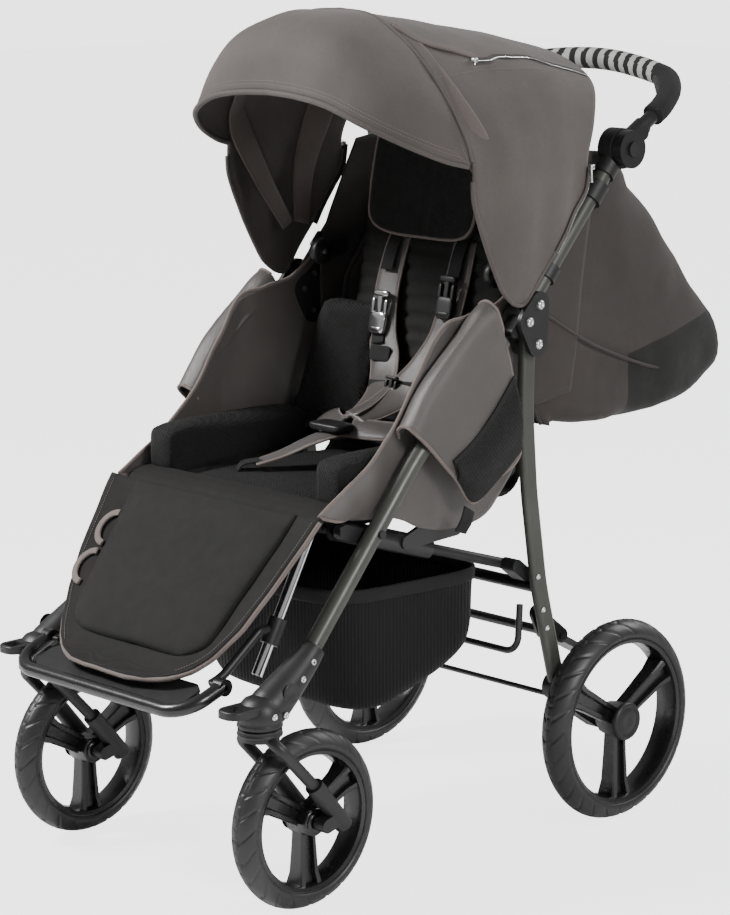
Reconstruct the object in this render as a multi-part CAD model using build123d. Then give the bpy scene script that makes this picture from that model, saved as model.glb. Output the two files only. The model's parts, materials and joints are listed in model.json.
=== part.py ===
"""A four-wheeled folding push chair: millimetres, +Z up, the front towards -Y, the child's left at +X."""
import math
import os

from build123d import *

# Side frames: centre plane, tube radii and the three pivots of each side plate
SIDE_X = 235.0
LEG_R = 13.0
WALL = 1.6
HANDLE_PIVOT = (100.0, 797.0)
FRONT_RIVET = (78.0, 774.0)
REAR_PIVOT = (97.0, 740.0)
PLATE_IN, PLATE_OUT = (214.0, 220.0), (250.0, 257.0)
PIN_R = 4.5
RUNNING = 0.05

# Legs, as (y, z) points of their centre lines
FRONT_LEG = [(-365, 324), (-120, 614), (45, 748)]
REAR_LEG = [(97, 757), (94, 640), (104, 520), (127, 375), (170, 217)]
REAR_LEG_DEPTH, REAR_LEG_WIDTH = 28.0, 16.0

# Handle: adjuster centre, direction of the arms, reach of the bow
ADJUSTER = (289.0, 1007.0)
ADJUSTER_R = 30.0
ARM_ANGLE = 28.0
HANDLE_ANGLE = math.degrees(math.atan2(ADJUSTER[1] - HANDLE_PIVOT[1], ADJUSTER[0] - HANDLE_PIVOT[0]))
HANDLE_TUBE_R = 11.0
GRIP_R = 17.0
HANDLE_BOW = [(236, 28), (229, 128), (150, 212), (0, 236)]
BOW_BENDS = [70, 90, 300, 90, 70]
GRIP_START = (231.5, 92)

# Canopy: hinge, half width, and the height of its crest at each angle round the hinge
CANOPY_HINGE = (85.0, 835.0)
CANOPY_HALF = 262.0
CANOPY_SKIN = 4.0
CANOPY_MAIN = {50: 395, 58: 380, 71: 358, 90: 372, 111: 400}
CANOPY_VISOR = {112: 402, 119: 416, 128: 408, 135: 382}
VISOR_LOW = 205.0
BOW_SIDE = 211.0

# Wheels
FRONT_WHEEL = (238.5, -350.0, 127.0)
REAR_WHEEL = (270.0, 263.0, 152.5)
FRONT_WIDTH, REAR_WIDTH = 45.0, 48.0
TYRE_HEIGHT = 27.0
AXLE_R = 5.0
CASTOR_Y = -430.0
LOCK_PIN = (-443.0, 303.0)
STEM_R = 6.0

# Seat, backrest and leg rest
RAIL_X = 190.0
RAIL = [(-245, 511), (-62, 455)]
RAIL_R, BRACE_R = 16.0, 8.0
BACK_HINGE = (92.0, 552.0)
BACK_LEAN = 11.3
KNEE_HINGE = (-262.0, 515.0)
SHIN_ANGLE = 61.5
PAD_ANGLE = 49.0
SHIN_X = 165.0
TIP_PIN = (-452.0, 324.0)

# Basket and bars between the rear legs
FRONT_BAR = (-228.0, 505.8)
BASKET_SIDE = [(-235, 402), (-190, 224), (-60, 216), (92, 283), (92, 394)]
BASKET_HALF = 180.0
POUCH_HALF = 205.0
FABRIC = 4.0
CROSS_BAR = (128.0, 372.0)
BRAKE_BAR = (195.0, 285.0)
AXLE_ROD = (166.0, 200.0)

made = {}


def at(x, yz):
    return Vector(x, yz[0], yz[1])


def along_x(radius, x0, x1, yz):
    """A round bar, disc or hole along X."""
    middle = Location(((x0 + x1) / 2, yz[0], yz[1]), (0, 90, 0))
    return middle * Cylinder(radius, abs(x1 - x0))


def slab(outline, x0, x1):
    """A (y, z) outline drawn out along X from x0 to x1."""
    return Pos(x0, 0, 0) * extrude(Plane.YZ * outline, x1 - x0, dir=(1, 0, 0))


def side_plate(points, grow, x0, x1):
    """A flat plate in the side view, rounded by grow at each of its (y, z) points."""
    return slab(offset(Polygon(*points, align=None), grow), x0, x1)


def route(points, radii):
    """Straight runs joined by arcs."""
    return FilletPolyline(*points, radius=radii) if len(points) > 2 else Line(*points)


def tube(points, radius, radii=(), wall=WALL):
    """A round tube along a route; a wall of None leaves it solid."""
    path = route(points, radii)
    ring = Circle(radius) if wall is None else Circle(radius) - Circle(radius - wall)
    return sweep(Plane(origin=path @ 0, z_dir=path % 0) * ring, path=path)


def pair(shape):
    """A shape on the child's left and its mirror image on the right."""
    return [shape, mirror(shape, about=Plane.YZ)]


def keep(name, shape):
    """Files one sub-part under its node's name."""
    made[name] = Compound(shape) if isinstance(shape, list) else shape


def keep_pair(name, shape):
    left, right = pair(shape)
    keep(name + "_left", left)
    keep(name + "_right", right)


def turned(yz, angle, distance):
    """The (y, z) point at a distance from yz, at an angle from +Y towards +Z."""
    a = math.radians(angle)
    return (yz[0] + distance * math.cos(a), yz[1] + distance * math.sin(a))


# --- side frames
def front_leg():
    return tube([at(SIDE_X, p) for p in FRONT_LEG], LEG_R, [500])


def pivot_plate():
    """The two cheeks of one side's folding joint, bored for its three pins."""
    pins = [HANDLE_PIVOT, FRONT_RIVET, REAR_PIVOT]
    halves = []
    for x0, x1 in (PLATE_IN, PLATE_OUT):
        half = side_plate(pins, 19, x0, x1)
        for centre in pins:
            half -= along_x(PIN_R + RUNNING, x0 - 1, x1 + 1, centre)
        halves.append(half)
    return halves


def plate_pins():
    """Two pivot pins and, into the front leg's bridge, one rivet, each with a domed head."""
    pins = []
    for centre in (HANDLE_PIVOT, FRONT_RIVET, REAR_PIVOT):
        shank = along_x(PIN_R, PLATE_IN[0] - 1.5, PLATE_OUT[1], centre)
        head = along_x(7, PLATE_OUT[1], PLATE_OUT[1] + 2, centre)
        pins.append(shank + head)
    return pins


def leg_bridge():
    """The plug that joins the front leg's upper end to the rivet between the plates."""
    bridge = side_plate([(60, 759), FRONT_RIVET], 8, 224, 246)
    bridge -= along_x(PIN_R + RUNNING, 220, 250, FRONT_RIVET)
    return bridge - tube([at(SIDE_X, p) for p in FRONT_LEG], LEG_R + 0.1, [500], None)


def castor_housing():
    """A collar over the castor stem, faired back into the socket of the front leg."""
    neck = Line(at(SIDE_X, (-418, 296)), at(SIDE_X, (-332, 363)))
    socket = sweep(Plane(origin=neck @ 0, z_dir=neck % 0) * Circle(20), path=neck)
    collar = Pos(SIDE_X + 3.5, CASTOR_Y, 296) * Cylinder(29, 44)
    dome = Pos(SIDE_X + 3.5, CASTOR_Y, 314) * Sphere(29)
    web = side_plate([(-440, 292), (-400, 300), (-352, 345)], 12, 218, 252)
    body = collar + dome + socket + web
    body -= tube([at(SIDE_X, p) for p in FRONT_LEG], LEG_R + 0.1, [500], None)
    body -= Pos(FRONT_WHEEL[0], CASTOR_Y, 280) * Cylinder(STEM_R + RUNNING, 60)
    return body - lock_space()


def lock_space():
    """The slot in front of the housing that the swivel lock tilts in."""
    return Pos(SIDE_X + 3.5, CASTOR_Y - 23.5, 302) * Box(45, 33, 30)


def swivel_lock():
    """A flat loop in front of the castor housing, pressed down to lock the swivel."""
    x = SIDE_X + 3.5
    plate = Pos(x, -468, 303) * Box(42, 56, 11)
    plate = fillet(plate.edges().filter_by(Axis.Z).group_by(Axis.Y)[0], 18)
    plate = fillet(plate.edges().group_by(Axis.Z)[-1], 3)
    plate -= Pos(x, -478, 303) * Box(22, 24, 20)
    return plate + along_x(5, x - 21, x + 21, LOCK_PIN)


# --- castors and wheels
def castor_fork():
    """Stem, crown, two arms that arch over the tyre and the sleeves that carry the axle."""
    x, y, z = FRONT_WHEEL
    crown = Pos(x, CASTOR_Y, 264) * Cylinder(27, 14)
    stem = Pos(x, CASTOR_Y, 285) * Cylinder(STEM_R, 40)
    fork = crown + stem
    for side in (-1, 1):
        out = x + side * 40
        arm = [Vector(x + side * 14, CASTOR_Y, 263), at(out, (-430, 251)), at(out, (-366, 184))]
        fork += tube(arm, 8.5, [16], None)
        fork += tube([at(out, (-368, 187)), at(out, (-312, 119))], 13, (), None)
        fork += side_plate([(y, z), (y + 22, z + 6)], 10, out - 10, out + 10)
    return fork + along_x(AXLE_R, x - 48, x + 48, (y, z))


def tyre(centre, width):
    """A hollow-backed tyre: rounded crown, flat seat on the rim."""
    x, y, z = centre
    half, seat = width / 2, z - TYRE_HEIGHT
    outline = [
        Line((seat, -half + 6), (seat, half - 6)),
        ThreePointArc((seat, half - 6), (seat + 7, half), (z - 9, half - 6)),
        ThreePointArc((z - 9, half - 6), (z, 0), (z - 9, 6 - half)),
        ThreePointArc((z - 9, 6 - half), (seat + 7, -half), (seat, 6 - half)),
    ]
    section = Plane.XZ * make_face(outline)
    ring = revolve(section, Axis.Z)
    return Pos(x, y, z) * Rot(0, 90, 0) * ring


def rim(centre, width, hub_r, hub_half):
    """A deep rim with three double spokes round a bored hub."""
    x, y, z = centre
    outer, inner = z - TYRE_HEIGHT - 0.1, z - TYRE_HEIGHT - 7
    barrel = Cylinder(outer, width - 12) - Cylinder(inner, width)
    hub = Cylinder(hub_r, 2 * hub_half)
    wheel = barrel + hub
    for turn in range(3):
        for side in (-1, 1):
            rib = Pos((inner + hub_r) / 2, side * 8, 0) * Box(inner - hub_r + 8, 7, 32)
            wheel += Rot(0, 0, 120 * turn) * rib
        web = Pos((inner + hub_r) / 2, 0, 0) * Box(inner - hub_r + 8, 16, 8)
        wheel += Rot(0, 0, 120 * turn) * web
    wheel -= Cylinder(AXLE_R + RUNNING, 3 * width)
    return Pos(x, y, z) * Rot(0, 90, 0) * wheel


# --- rear frame
def rear_leg():
    path = route([at(SIDE_X, p) for p in REAR_LEG], [500, 500, 500])
    plane = Plane(origin=path @ 0, x_dir=(1, 0, 0), z_dir=path % 0)
    outer = RectangleRounded(REAR_LEG_WIDTH, REAR_LEG_DEPTH, 7.5)
    inner = RectangleRounded(REAR_LEG_WIDTH - 2 * WALL, REAR_LEG_DEPTH - 2 * WALL, 6)
    leg = sweep(plane * (outer - inner), path=path)
    return leg - along_x(PIN_R + RUNNING, 220, 250, REAR_PIVOT)


def axle_block():
    """The casting from the foot of the rear leg to the wheel's axle."""
    hub = REAR_WHEEL[1:]
    block = side_plate([(172, 213), hub], 20, 221, 243.5)
    path = route([at(SIDE_X, p) for p in REAR_LEG], [500, 500, 500])
    plane = Plane(origin=path @ 0, x_dir=(1, 0, 0), z_dir=path % 0)
    block -= sweep(plane * RectangleRounded(REAR_LEG_WIDTH + 0.3, REAR_LEG_DEPTH + 0.3, 7.6), path=path)
    return block + along_x(AXLE_R, 240, REAR_WHEEL[0] + 26, hub)


def cross_bars():
    """The bar between the rear legs, the bent basket rod below it, and the brake brackets."""
    bar = along_x(9, -226.5, 226.5, CROSS_BAR)
    low, high = (108, 272), (112, 345)
    rod = tube([at(-212, high), at(-212, low), at(212, low), at(212, high)], 5, [25, 25], None)
    bracket = side_plate([(137, 330), (152, 300), BRAKE_BAR], 11, 218, 223)
    bracket -= along_x(7 + RUNNING, 210, 230, BRAKE_BAR)
    return [bar, rod] + pair(bracket)


def brake_bar():
    """A bar across the rear legs with a foot pedal behind each side."""
    shaft = along_x(7, -225, 225, BRAKE_BAR)
    pedal = side_plate([(205, 279), (283, 236)], 5, 168, 211)
    shaft += pedal
    return shaft + mirror(pedal, about=Plane.YZ)


def fold_brace():
    """The sliding strut beside each rear leg, with the plate that hooks to the leg."""
    strut = tube([at(RAIL_X, (-66, 456.2)), at(RAIL_X, (100, 405.4))], BRACE_R)
    hook = side_plate([(96, 407), (117, 391)], 10, 196, 222)
    return pair(strut + hook)


# --- handle
def up_handle(start, end, origin=HANDLE_PIVOT):
    """Two points on the handle tube's centre line, by their distances from origin."""
    return [at(SIDE_X, turned(origin, HANDLE_ANGLE, d)) for d in (start, end)]


def handle_tube():
    """From the side plate up to the adjuster, with the adjuster's socket left to another part."""
    lower = turned(HANDLE_PIVOT, HANDLE_ANGLE, -12)
    upper = turned(ADJUSTER, HANDLE_ANGLE, -31)
    body = tube([at(SIDE_X, lower), at(SIDE_X, upper)], LEG_R)
    return body - along_x(PIN_R + RUNNING, 220, 250, HANDLE_PIVOT)


def adjuster_base():
    """The fixed half of the handle's adjuster: a toothed disc on a socket round the tube."""
    disc = along_x(ADJUSTER_R, 221, 245.5, ADJUSTER)
    socket = tube(up_handle(-50, -20, ADJUSTER), 17, (), None)
    socket -= along_x(ADJUSTER_R + 1, 245.5, 260, ADJUSTER)
    base = disc + socket - tube(up_handle(-60, -31, ADJUSTER), LEG_R + 0.1, (), None)
    return base - along_x(6 + RUNNING, 215, 250, ADJUSTER)


def bow_points(stations):
    """Points in the plane of the handle's arms, from (x, reach) pairs."""
    return [at(x, turned(ADJUSTER, ARM_ANGLE, reach)) for x, reach in stations]


def both_sides(stations):
    return stations + [(-x, reach) for x, reach in reversed(stations) if x]


def handle_bar():
    """The bowed tube with an outer adjuster half, its pivot pin and its button recess at each end."""
    bow = tube(bow_points(both_sides(HANDLE_BOW)), HANDLE_TUBE_R, BOW_BENDS)
    for side in (-1, 1):
        disc = along_x(ADJUSTER_R - 2, side * 246.3, side * 264, ADJUSTER)
        pin = along_x(6, side * 222, side * 250, ADJUSTER)
        lug = tube(bow_points([(side * 236, 27), (side * 234, 62)]), 14, (), None)
        strap = side_plate([turned(ADJUSTER, ARM_ANGLE, d) for d in (6, 44)], 10, 247, 252)
        strap = strap if side > 0 else mirror(strap, about=Plane.YZ)
        lug -= along_x(ADJUSTER_R + 1.5, side * 215, side * 246.3, ADJUSTER)
        bow -= along_x(ADJUSTER_R + 1.5, side * 215, side * 246.3, ADJUSTER)
        bow += disc + pin + strap + lug
        bow -= along_x(11.3, side * 258, side * 266, ADJUSTER)
    return bow


def handle_grip():
    """The foam sleeve over the bow."""
    core = [GRIP_START] + HANDLE_BOW[1:]
    outer = tube(bow_points(both_sides(core)), GRIP_R, BOW_BENDS, None)
    return outer - tube(bow_points(both_sides(HANDLE_BOW)), HANDLE_TUBE_R + 0.1, BOW_BENDS, None)


def adjust_button():
    return along_x(11, 262, 268, ADJUSTER)


def fold_trigger():
    """The sprung collar under the adjuster that frees the fold when it is pulled up."""
    collar = tube(up_handle(186, 216), 18.5, (), None)
    fin = side_plate([turned(HANDLE_PIVOT, HANDLE_ANGLE - 5, d) for d in (190, 212)], 5, 231, 239)
    return collar + fin - tube(up_handle(180, 222), LEG_R + RUNNING, (), None)


# --- canopy
def arch(angle, crest, half, inset, low):
    """The canopy's section in the plane through its hinge, at an angle from +Y towards +Z."""
    a, top = half - inset, crest - inset
    shoulder = [(a, low), (a, top - 165), (a - 100, top - 45), (0, top)]
    rest = [(-x, r) for x, r in reversed(shoulder) if x]
    edge = FilletPolyline(*(shoulder + rest), radius=[140, 140, 200, 140, 140])
    face = make_face([edge, Line((-a, low), (a, low))])
    up = at(0, turned((0, 0), angle, 1))
    plane = Plane(origin=at(0, CANOPY_HINGE), x_dir=(1, 0, 0), z_dir=Vector(1, 0, 0).cross(up))
    return plane * face


def canopy_shell(crests, half, low):
    """A thin dome lofted through arches fanned about the hinge."""
    outer = loft([arch(angle, crest, half, 0, low) for angle, crest in crests.items()])
    inner = loft([arch(angle, crest, half, CANOPY_SKIN, low - 1) for angle, crest in crests.items()])
    return outer - inner


def canopy_main():
    shell = canopy_shell(CANOPY_MAIN, CANOPY_HALF, 45)
    outline = [(118, 823), (80, 820), (62, 799), (42, 812), (12, 868), (-26, 950), (-30, 980), (95, 960)]
    tongue = slab(Polygon(*outline, align=None), CANOPY_HALF - CANOPY_SKIN, CANOPY_HALF)
    shell += tongue
    return shell + mirror(tongue, about=Plane.YZ)


def canopy_visor():
    """The peak in front of the main hood, cut off above the hinge."""
    peak = canopy_shell(CANOPY_VISOR, CANOPY_HALF - 2, 120)
    return peak - along_x(VISOR_LOW, -300, 300, CANOPY_HINGE)


def canopy_bow(angle, crest):
    """A bent strip that holds the canopy open, with an eye on the hinge pin at each end."""
    half = [(200, 16), (BOW_SIDE, 110), (BOW_SIDE, crest - 165), (145, crest - 55), (0, crest - 12)]
    points = [at(x, turned(CANOPY_HINGE, angle, reach)) for x, reach in both_sides(half)]
    return tube(points, 3.5, [60, 60, 100, 200, 100, 60, 60], None)


def canopy_bows():
    """Two bows on one pair of hinge eyes."""
    bows = canopy_bow(133, 382) + canopy_bow(112.3, 398)
    for side in (-1, 1):
        bows += along_x(15, side * 197.5, side * 205.5, CANOPY_HINGE)
        bows -= along_x(PIN_R + RUNNING, side * 190, side * 210, CANOPY_HINGE)
    return bows


def canopy_mount():
    """The clamp from the handle tube forward to the canopy's hinge pin."""
    foot = turned(HANDLE_PIVOT, HANDLE_ANGLE, 55)
    arm = side_plate([foot, CANOPY_HINGE], 13, 188, 196.5) + along_x(PIN_R, 190, 206, CANOPY_HINGE)
    clamp = along_x(9, 190, SIDE_X, foot) + tube(up_handle(44, 66), 17, (), None)
    return arm + clamp - tube(up_handle(30, 80), LEG_R + 0.1, (), None)


def rear_pouch():
    """The fabric bay behind the backrest, open in front and above so that the back can recline."""
    wall = [(150, 792), (292, 985), (352, 985), (615, 716), (640, 676), (600, 634), (415, 592),
            (175, 600), (140, 650)]
    space = [(120, 800), (262, 1000), (350, 990), (612, 713), (634, 678), (598, 639), (415, 597),
             (150, 605), (125, 650)]
    outer = slab(Polygon(*wall, align=None), -POUCH_HALF, POUCH_HALF)
    return outer - slab(Polygon(*space, align=None), FABRIC - POUCH_HALF, POUCH_HALF - FABRIC)


# --- seat
def seat_frame():
    """Rails under the seat, the risers behind them and the cross tube that the back turns on."""
    rail = tube([at(RAIL_X, p) for p in RAIL], RAIL_R, (), RAIL_R - BRACE_R - RUNNING)
    side = rail + side_plate([(-120, 475), (-20, 480), BACK_HINGE], 10, 203, 210)
    bars = along_x(8, -206, 206, BACK_HINGE) + along_x(7, -178, 178, FRONT_BAR)
    return bars + side + mirror(side, about=Plane.YZ)


def leg_brackets():
    """The brackets that hang the seat rails from the front legs."""
    bracket = side_plate([(-252, 512), (-215, 500)], 11, 207, 221.5)
    screw = along_x(6, 249, 252, (-210, 507))
    return pair(bracket) + pair(screw)


def knee_brackets():
    """The ears under the seat's front edge, with the pins that the leg rest hangs on."""
    ear = side_plate([KNEE_HINGE, FRONT_BAR], 9.5, 149, 155.5) - along_x(7 + RUNNING, 140, 160, FRONT_BAR)
    return pair(ear + along_x(PIN_R, 150, 172, KNEE_HINGE))


def rounded_box(x, y, z, size, edge):
    block = Pos(x, y, z) * Box(*size)
    return fillet(block.edges(), edge)


def seat_base():
    return rounded_box(0, -77.5, 505, (340, 275, 12), 3)


def seat_cushion():
    return rounded_box(0, -90, 528, (292, 322, 28), 9)


def hip_bolsters():
    block = rounded_box(178, -110, 567, (56, 280, 62), 18)
    return pair(block)


def side_panel():
    """The fabric side of the seat and the sleeve that it folds over the front leg."""
    top = [(86, 778), (20, 768), (-60, 716), (-150, 645), (-296, 540)]
    bottom = [(-290, 537), (-262, 530), (-208, 515), (-194, 500), (-65, 484), (-5, 470), (66, 530), (84, 600),
              (60, 700)]
    inside = slab(Polygon(*(top + bottom), align=None), 210.3, 212.3)
    sleeve = [(20, 768), (-60, 716), (-150, 645), (-118, 628), (-45, 566), (-4, 524), (52, 590), (60, 680),
              (46, 752)]
    outside = slab(Polygon(*sleeve, align=None), 250, 253)
    return inside, outside


def on_back(x, forward, up, size, edge):
    """A rounded block on the backrest, placed by its distance in front of and above the hinge."""
    block = fillet((Pos(x, -forward, up) * Box(*size)).edges(), edge)
    return Pos(0, *BACK_HINGE) * Rot(-BACK_LEAN, 0, 0) * block


def back_bolster():
    """A wedge-shaped wing on the backrest, from low on the back to the ribs."""
    plan = Polygon((84, -14), (150, -84), (190, -84), (190, -14), align=None)
    wing = extrude(Plane.XY * plan, 130, dir=(0, 0, 1))
    wing = fillet(wing.edges().filter_by(Axis.Z), 9)
    return Pos(0, *BACK_HINGE) * Rot(-BACK_LEAN, 0, 0) * Pos(0, 0, 60) * wing


def back_brackets():
    """The arms that carry the backrest on the cross tube."""
    arm = side_plate([BACK_HINGE, turned(BACK_HINGE, 90 - BACK_LEAN, 90)], 11, 176, 182)
    arm -= along_x(8 + RUNNING, 170, 190, BACK_HINGE)
    return pair(arm)


def shin_point(x, along, forward=0.0):
    """A point on the leg rest: distance down the shin tubes, and in front of them."""
    p = turned(KNEE_HINGE, 180 + SHIN_ANGLE, along)
    return at(x, turned(p, 90 + SHIN_ANGLE, forward))


def shin_tubes():
    """Two tubes hinged under the seat's front edge."""
    eyes = pair(along_x(9, 160, 171, KNEE_HINGE) - along_x(PIN_R + RUNNING, 150, 180, KNEE_HINGE))
    tubes = pair(tube([shin_point(SHIN_X, 8.5), shin_point(SHIN_X, 222)], 8, (), 1.5))
    bar = tube([shin_point(-SHIN_X + 8.3, 60), shin_point(SHIN_X - 8.3, 60)], 6)
    return eyes + tubes + [bar]


def calf_pad():
    """The padded panel in front of the shin tubes."""
    top = (-287.5, 527)
    drop = Plane(origin=at(0, top), x_dir=(1, 0, 0), z_dir=at(0, turned((0, 0), 90 + PAD_ANGLE, 1)))
    outline = Polygon((-200, 0), (200, 0), (172, -150), (125, -250), (-125, -250), (-172, -150), align=None)
    return extrude(drop * outline, 20, dir=-drop.z_dir)


def foot_clamps():
    """Clamps that slide on the shin tubes and carry the bent tubes to the foot bar."""
    parts = []
    for side in (-1, 1):
        x = side * SHIN_X
        ends = [shin_point(x, 138), shin_point(x, 176)]
        stem = [shin_point(x, 158, 12), shin_point(x, 166, 26), at(x, (-432, 330)), at(x, TIP_PIN)]
        clamp = tube(ends, 13, (), None) + tube(stem, 6.5, [6, 60], None)
        clamp -= tube([shin_point(x, 130), shin_point(x, 200)], 8 + RUNNING, (), None)
        parts.append(clamp + along_x(4, x, x + side * 16, TIP_PIN))
    return parts


def foot_bar():
    """The bent bar with an eye at each end, which tips up on the clamps' pins."""
    half = SHIN_X + 22
    corner = (-520, 297)
    points = [at(half, TIP_PIN), at(half - 4, corner), at(4 - half, corner), at(-half, TIP_PIN)]
    eyes = along_x(12, half - 8, half + 8, TIP_PIN) + along_x(12, -half - 8, 8 - half, TIP_PIN)
    bar = tube(points, 10, [45, 45], None) + eyes
    for side in (-1, 1):
        bar -= along_x(4 + RUNNING, side * (half - 22), side * (half + 22), TIP_PIN)
    return bar


def foot_plate():
    tilt = Plane(origin=at(0, (-482, 309)), x_dir=(1, 0, 0), z_dir=Vector(0, -0.365, 0.931))
    return extrude(tilt * RectangleRounded(320, 52, 20), 3, both=True)


def basket():
    """A fabric tub, open above."""
    tub = slab(Polygon(*BASKET_SIDE, align=None), -BASKET_HALF, BASKET_HALF)
    space = [(-230, 430), (-230, 402), (-186, 228), (-60, 220), (88, 286), (88, 394), (88, 430)]
    return tub - slab(Polygon(*space, align=None), FABRIC - BASKET_HALF, BASKET_HALF - FABRIC)


def build():
    keep_pair("front_leg", front_leg())
    keep("pivot_plates", [half for plate in pivot_plate() for half in pair(plate)])
    keep("plate_pins", [half for pin in plate_pins() for half in pair(pin)])
    keep("leg_bridges", pair(leg_bridge()))
    keep_pair("castor_housing", castor_housing())
    keep_pair("swivel_lock", swivel_lock())
    keep_pair("castor_fork", castor_fork())
    keep_pair("front_tyre", tyre(FRONT_WHEEL, FRONT_WIDTH))
    keep_pair("front_rim", rim(FRONT_WHEEL, FRONT_WIDTH, 20, 25))
    keep_pair("rear_tyre", tyre(REAR_WHEEL, REAR_WIDTH))
    keep_pair("rear_rim", rim(REAR_WHEEL, REAR_WIDTH, 30, 24))
    keep_pair("rear_leg", rear_leg())
    keep("axle_blocks", pair(axle_block()))
    keep("rear_bars", cross_bars())
    keep("rear_axle_rod", along_x(4, -220.8, 220.8, AXLE_ROD))
    keep("brake_bar", brake_bar())
    keep("fold_braces", fold_brace())
    keep_pair("handle_tube", handle_tube())
    keep("adjuster_bases", pair(adjuster_base()))
    keep("handle_bar", handle_bar())
    keep("handle_grip", handle_grip())
    keep_pair("adjust_button", adjust_button())
    keep_pair("fold_trigger", fold_trigger())
    keep("canopy_mounts", pair(canopy_mount()))
    keep("canopy_main", canopy_main())
    keep("canopy_visor", canopy_visor())
    keep("canopy_bows", canopy_bows())
    keep("rear_pouch", rear_pouch())
    keep("seat_frame", seat_frame())
    keep("seat_brackets", leg_brackets() + knee_brackets())
    keep("seat_base", seat_base())
    keep("seat_cushion", seat_cushion())
    keep("hip_bolsters", hip_bolsters())
    inside, outside = side_panel()
    keep("side_panel_left", [inside, outside])
    keep("side_panel_right", [mirror(inside, about=Plane.YZ), mirror(outside, about=Plane.YZ)])
    keep("back_brackets", back_brackets())
    keep("back_panel", on_back(0, -17, 270, (344, 8, 470), 2))
    keep("back_cushion", on_back(0, 1, 235, (300, 24, 400), 8))
    keep("back_bolsters", pair(back_bolster()))
    keep("headrest", on_back(0, 27, 395, (232, 26, 170), 9))
    keep("harness", on_back(0, 20, 185, (190, 10, 230), 3))
    keep("crotch_strap", rounded_box(0, -115, 566, (60, 120, 44), 8))
    keep("shin_tubes", shin_tubes())
    keep("calf_pad", calf_pad())
    keep("foot_clamps", foot_clamps())
    keep("foot_bar", foot_bar())
    keep("foot_plate", foot_plate())
    keep("basket", basket())


build()
box = Compound([solid for shape in made.values() for solid in shape.solids()]).bounding_box()
MIDDLE_Y = (box.min.Y + box.max.Y) / 2
os.makedirs("parts", exist_ok=True)
for name, shape in made.items():
    export_step(Pos(0, -MIDDLE_Y, 0) * shape, f"parts/{name}.step")
print(len(made), "parts; box", box.min, box.max, "; middle y", round(MIDDLE_Y, 4))
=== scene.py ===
# %% [markdown]
# # A folding push chair, dressed
# The imported model is loaded first: its bodies move, and most pieces made here ride on one of them.
# Lengths are metres in the model's own frame, +Z up, with the front towards -Y.
# %%
import json
import math

import bmesh
import bpy
import numpy as np
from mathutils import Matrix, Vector, noise


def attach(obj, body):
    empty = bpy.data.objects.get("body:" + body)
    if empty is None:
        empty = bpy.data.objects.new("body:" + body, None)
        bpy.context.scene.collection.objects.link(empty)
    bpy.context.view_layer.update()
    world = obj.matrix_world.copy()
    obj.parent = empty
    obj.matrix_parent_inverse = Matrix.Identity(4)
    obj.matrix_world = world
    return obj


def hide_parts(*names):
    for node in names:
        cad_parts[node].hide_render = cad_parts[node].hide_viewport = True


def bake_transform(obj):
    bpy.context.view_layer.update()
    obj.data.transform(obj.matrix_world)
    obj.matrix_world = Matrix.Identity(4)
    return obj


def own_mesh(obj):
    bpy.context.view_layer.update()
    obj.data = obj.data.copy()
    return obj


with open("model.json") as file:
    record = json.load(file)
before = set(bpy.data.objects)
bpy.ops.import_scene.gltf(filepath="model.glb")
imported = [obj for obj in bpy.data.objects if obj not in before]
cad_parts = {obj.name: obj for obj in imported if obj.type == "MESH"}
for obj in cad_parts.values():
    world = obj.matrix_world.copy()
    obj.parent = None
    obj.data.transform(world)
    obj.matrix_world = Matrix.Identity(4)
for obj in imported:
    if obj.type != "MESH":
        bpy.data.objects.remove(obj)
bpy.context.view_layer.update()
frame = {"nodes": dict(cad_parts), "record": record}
record = frame["record"]
joint_at = {j["name"]: np.array(j["pos_m"]) for j in record["behaviour"]["joints"] if "pos_m" in j}

# %% [markdown]
# ## Curves and meshes
# Points are numpy arrays. A smooth line goes through its points, and every mesh is made from rows of points.
# %%
def mm(x, y, z):
    return np.array([x, y, z], float) / 1000


def through(points, count, closed=False):
    """Evenly spaced points on a smooth line through the given ones."""
    p = np.array(points, float)
    ends = (p[-1:], p[:2]) if closed else (2 * p[:1] - p[1:2], 2 * p[-1:] - p[-2:-1])
    q = np.vstack([ends[0], p, ends[1]])
    t = np.linspace(0, 1, 16, endpoint=False)[:, None]
    runs = [0.5 * (2 * b + (c - a) * t + (2 * a - 5 * b + 4 * c - d) * t ** 2 + (3 * b - a - 3 * c + d) * t ** 3)
            for a, b, c, d in zip(q, q[1:], q[2:], q[3:])]
    dense = np.vstack(runs + [p[:1] if closed else p[-1:]])
    steps = np.linalg.norm(np.diff(dense, axis=0), axis=1)
    length = np.r_[0, np.cumsum(steps)]
    at = np.linspace(0, length[-1], count)
    return np.stack([np.interp(at, length, dense[:, k]) for k in range(dense.shape[1])], 1)


def unit(v):
    return v / np.maximum(np.linalg.norm(v, axis=-1, keepdims=True), 1e-9)


def mirrored(points):
    return points * np.array([-1, 1, 1])


def quads(rows, columns, wrap=False):
    """Faces of a grid of rows x columns points; wrap joins the last column to the first."""
    last = columns if wrap else columns - 1
    return [(r * columns + c, r * columns + (c + 1) % columns, (r + 1) * columns + (c + 1) % columns,
             (r + 1) * columns + c) for r in range(rows - 1) for c in range(last)]


def merged(parts):
    """Several (points, faces) in one."""
    points, faces, start = [], [], 0
    for p, f in parts:
        points.append(p)
        faces += [tuple(i + start for i in face) for face in f]
        start += len(p)
    return np.vstack(points), faces


def both(part):
    """A part and its mirror image."""
    points, faces = part
    return merged([part, (mirrored(points), [face[::-1] for face in faces])])


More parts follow.
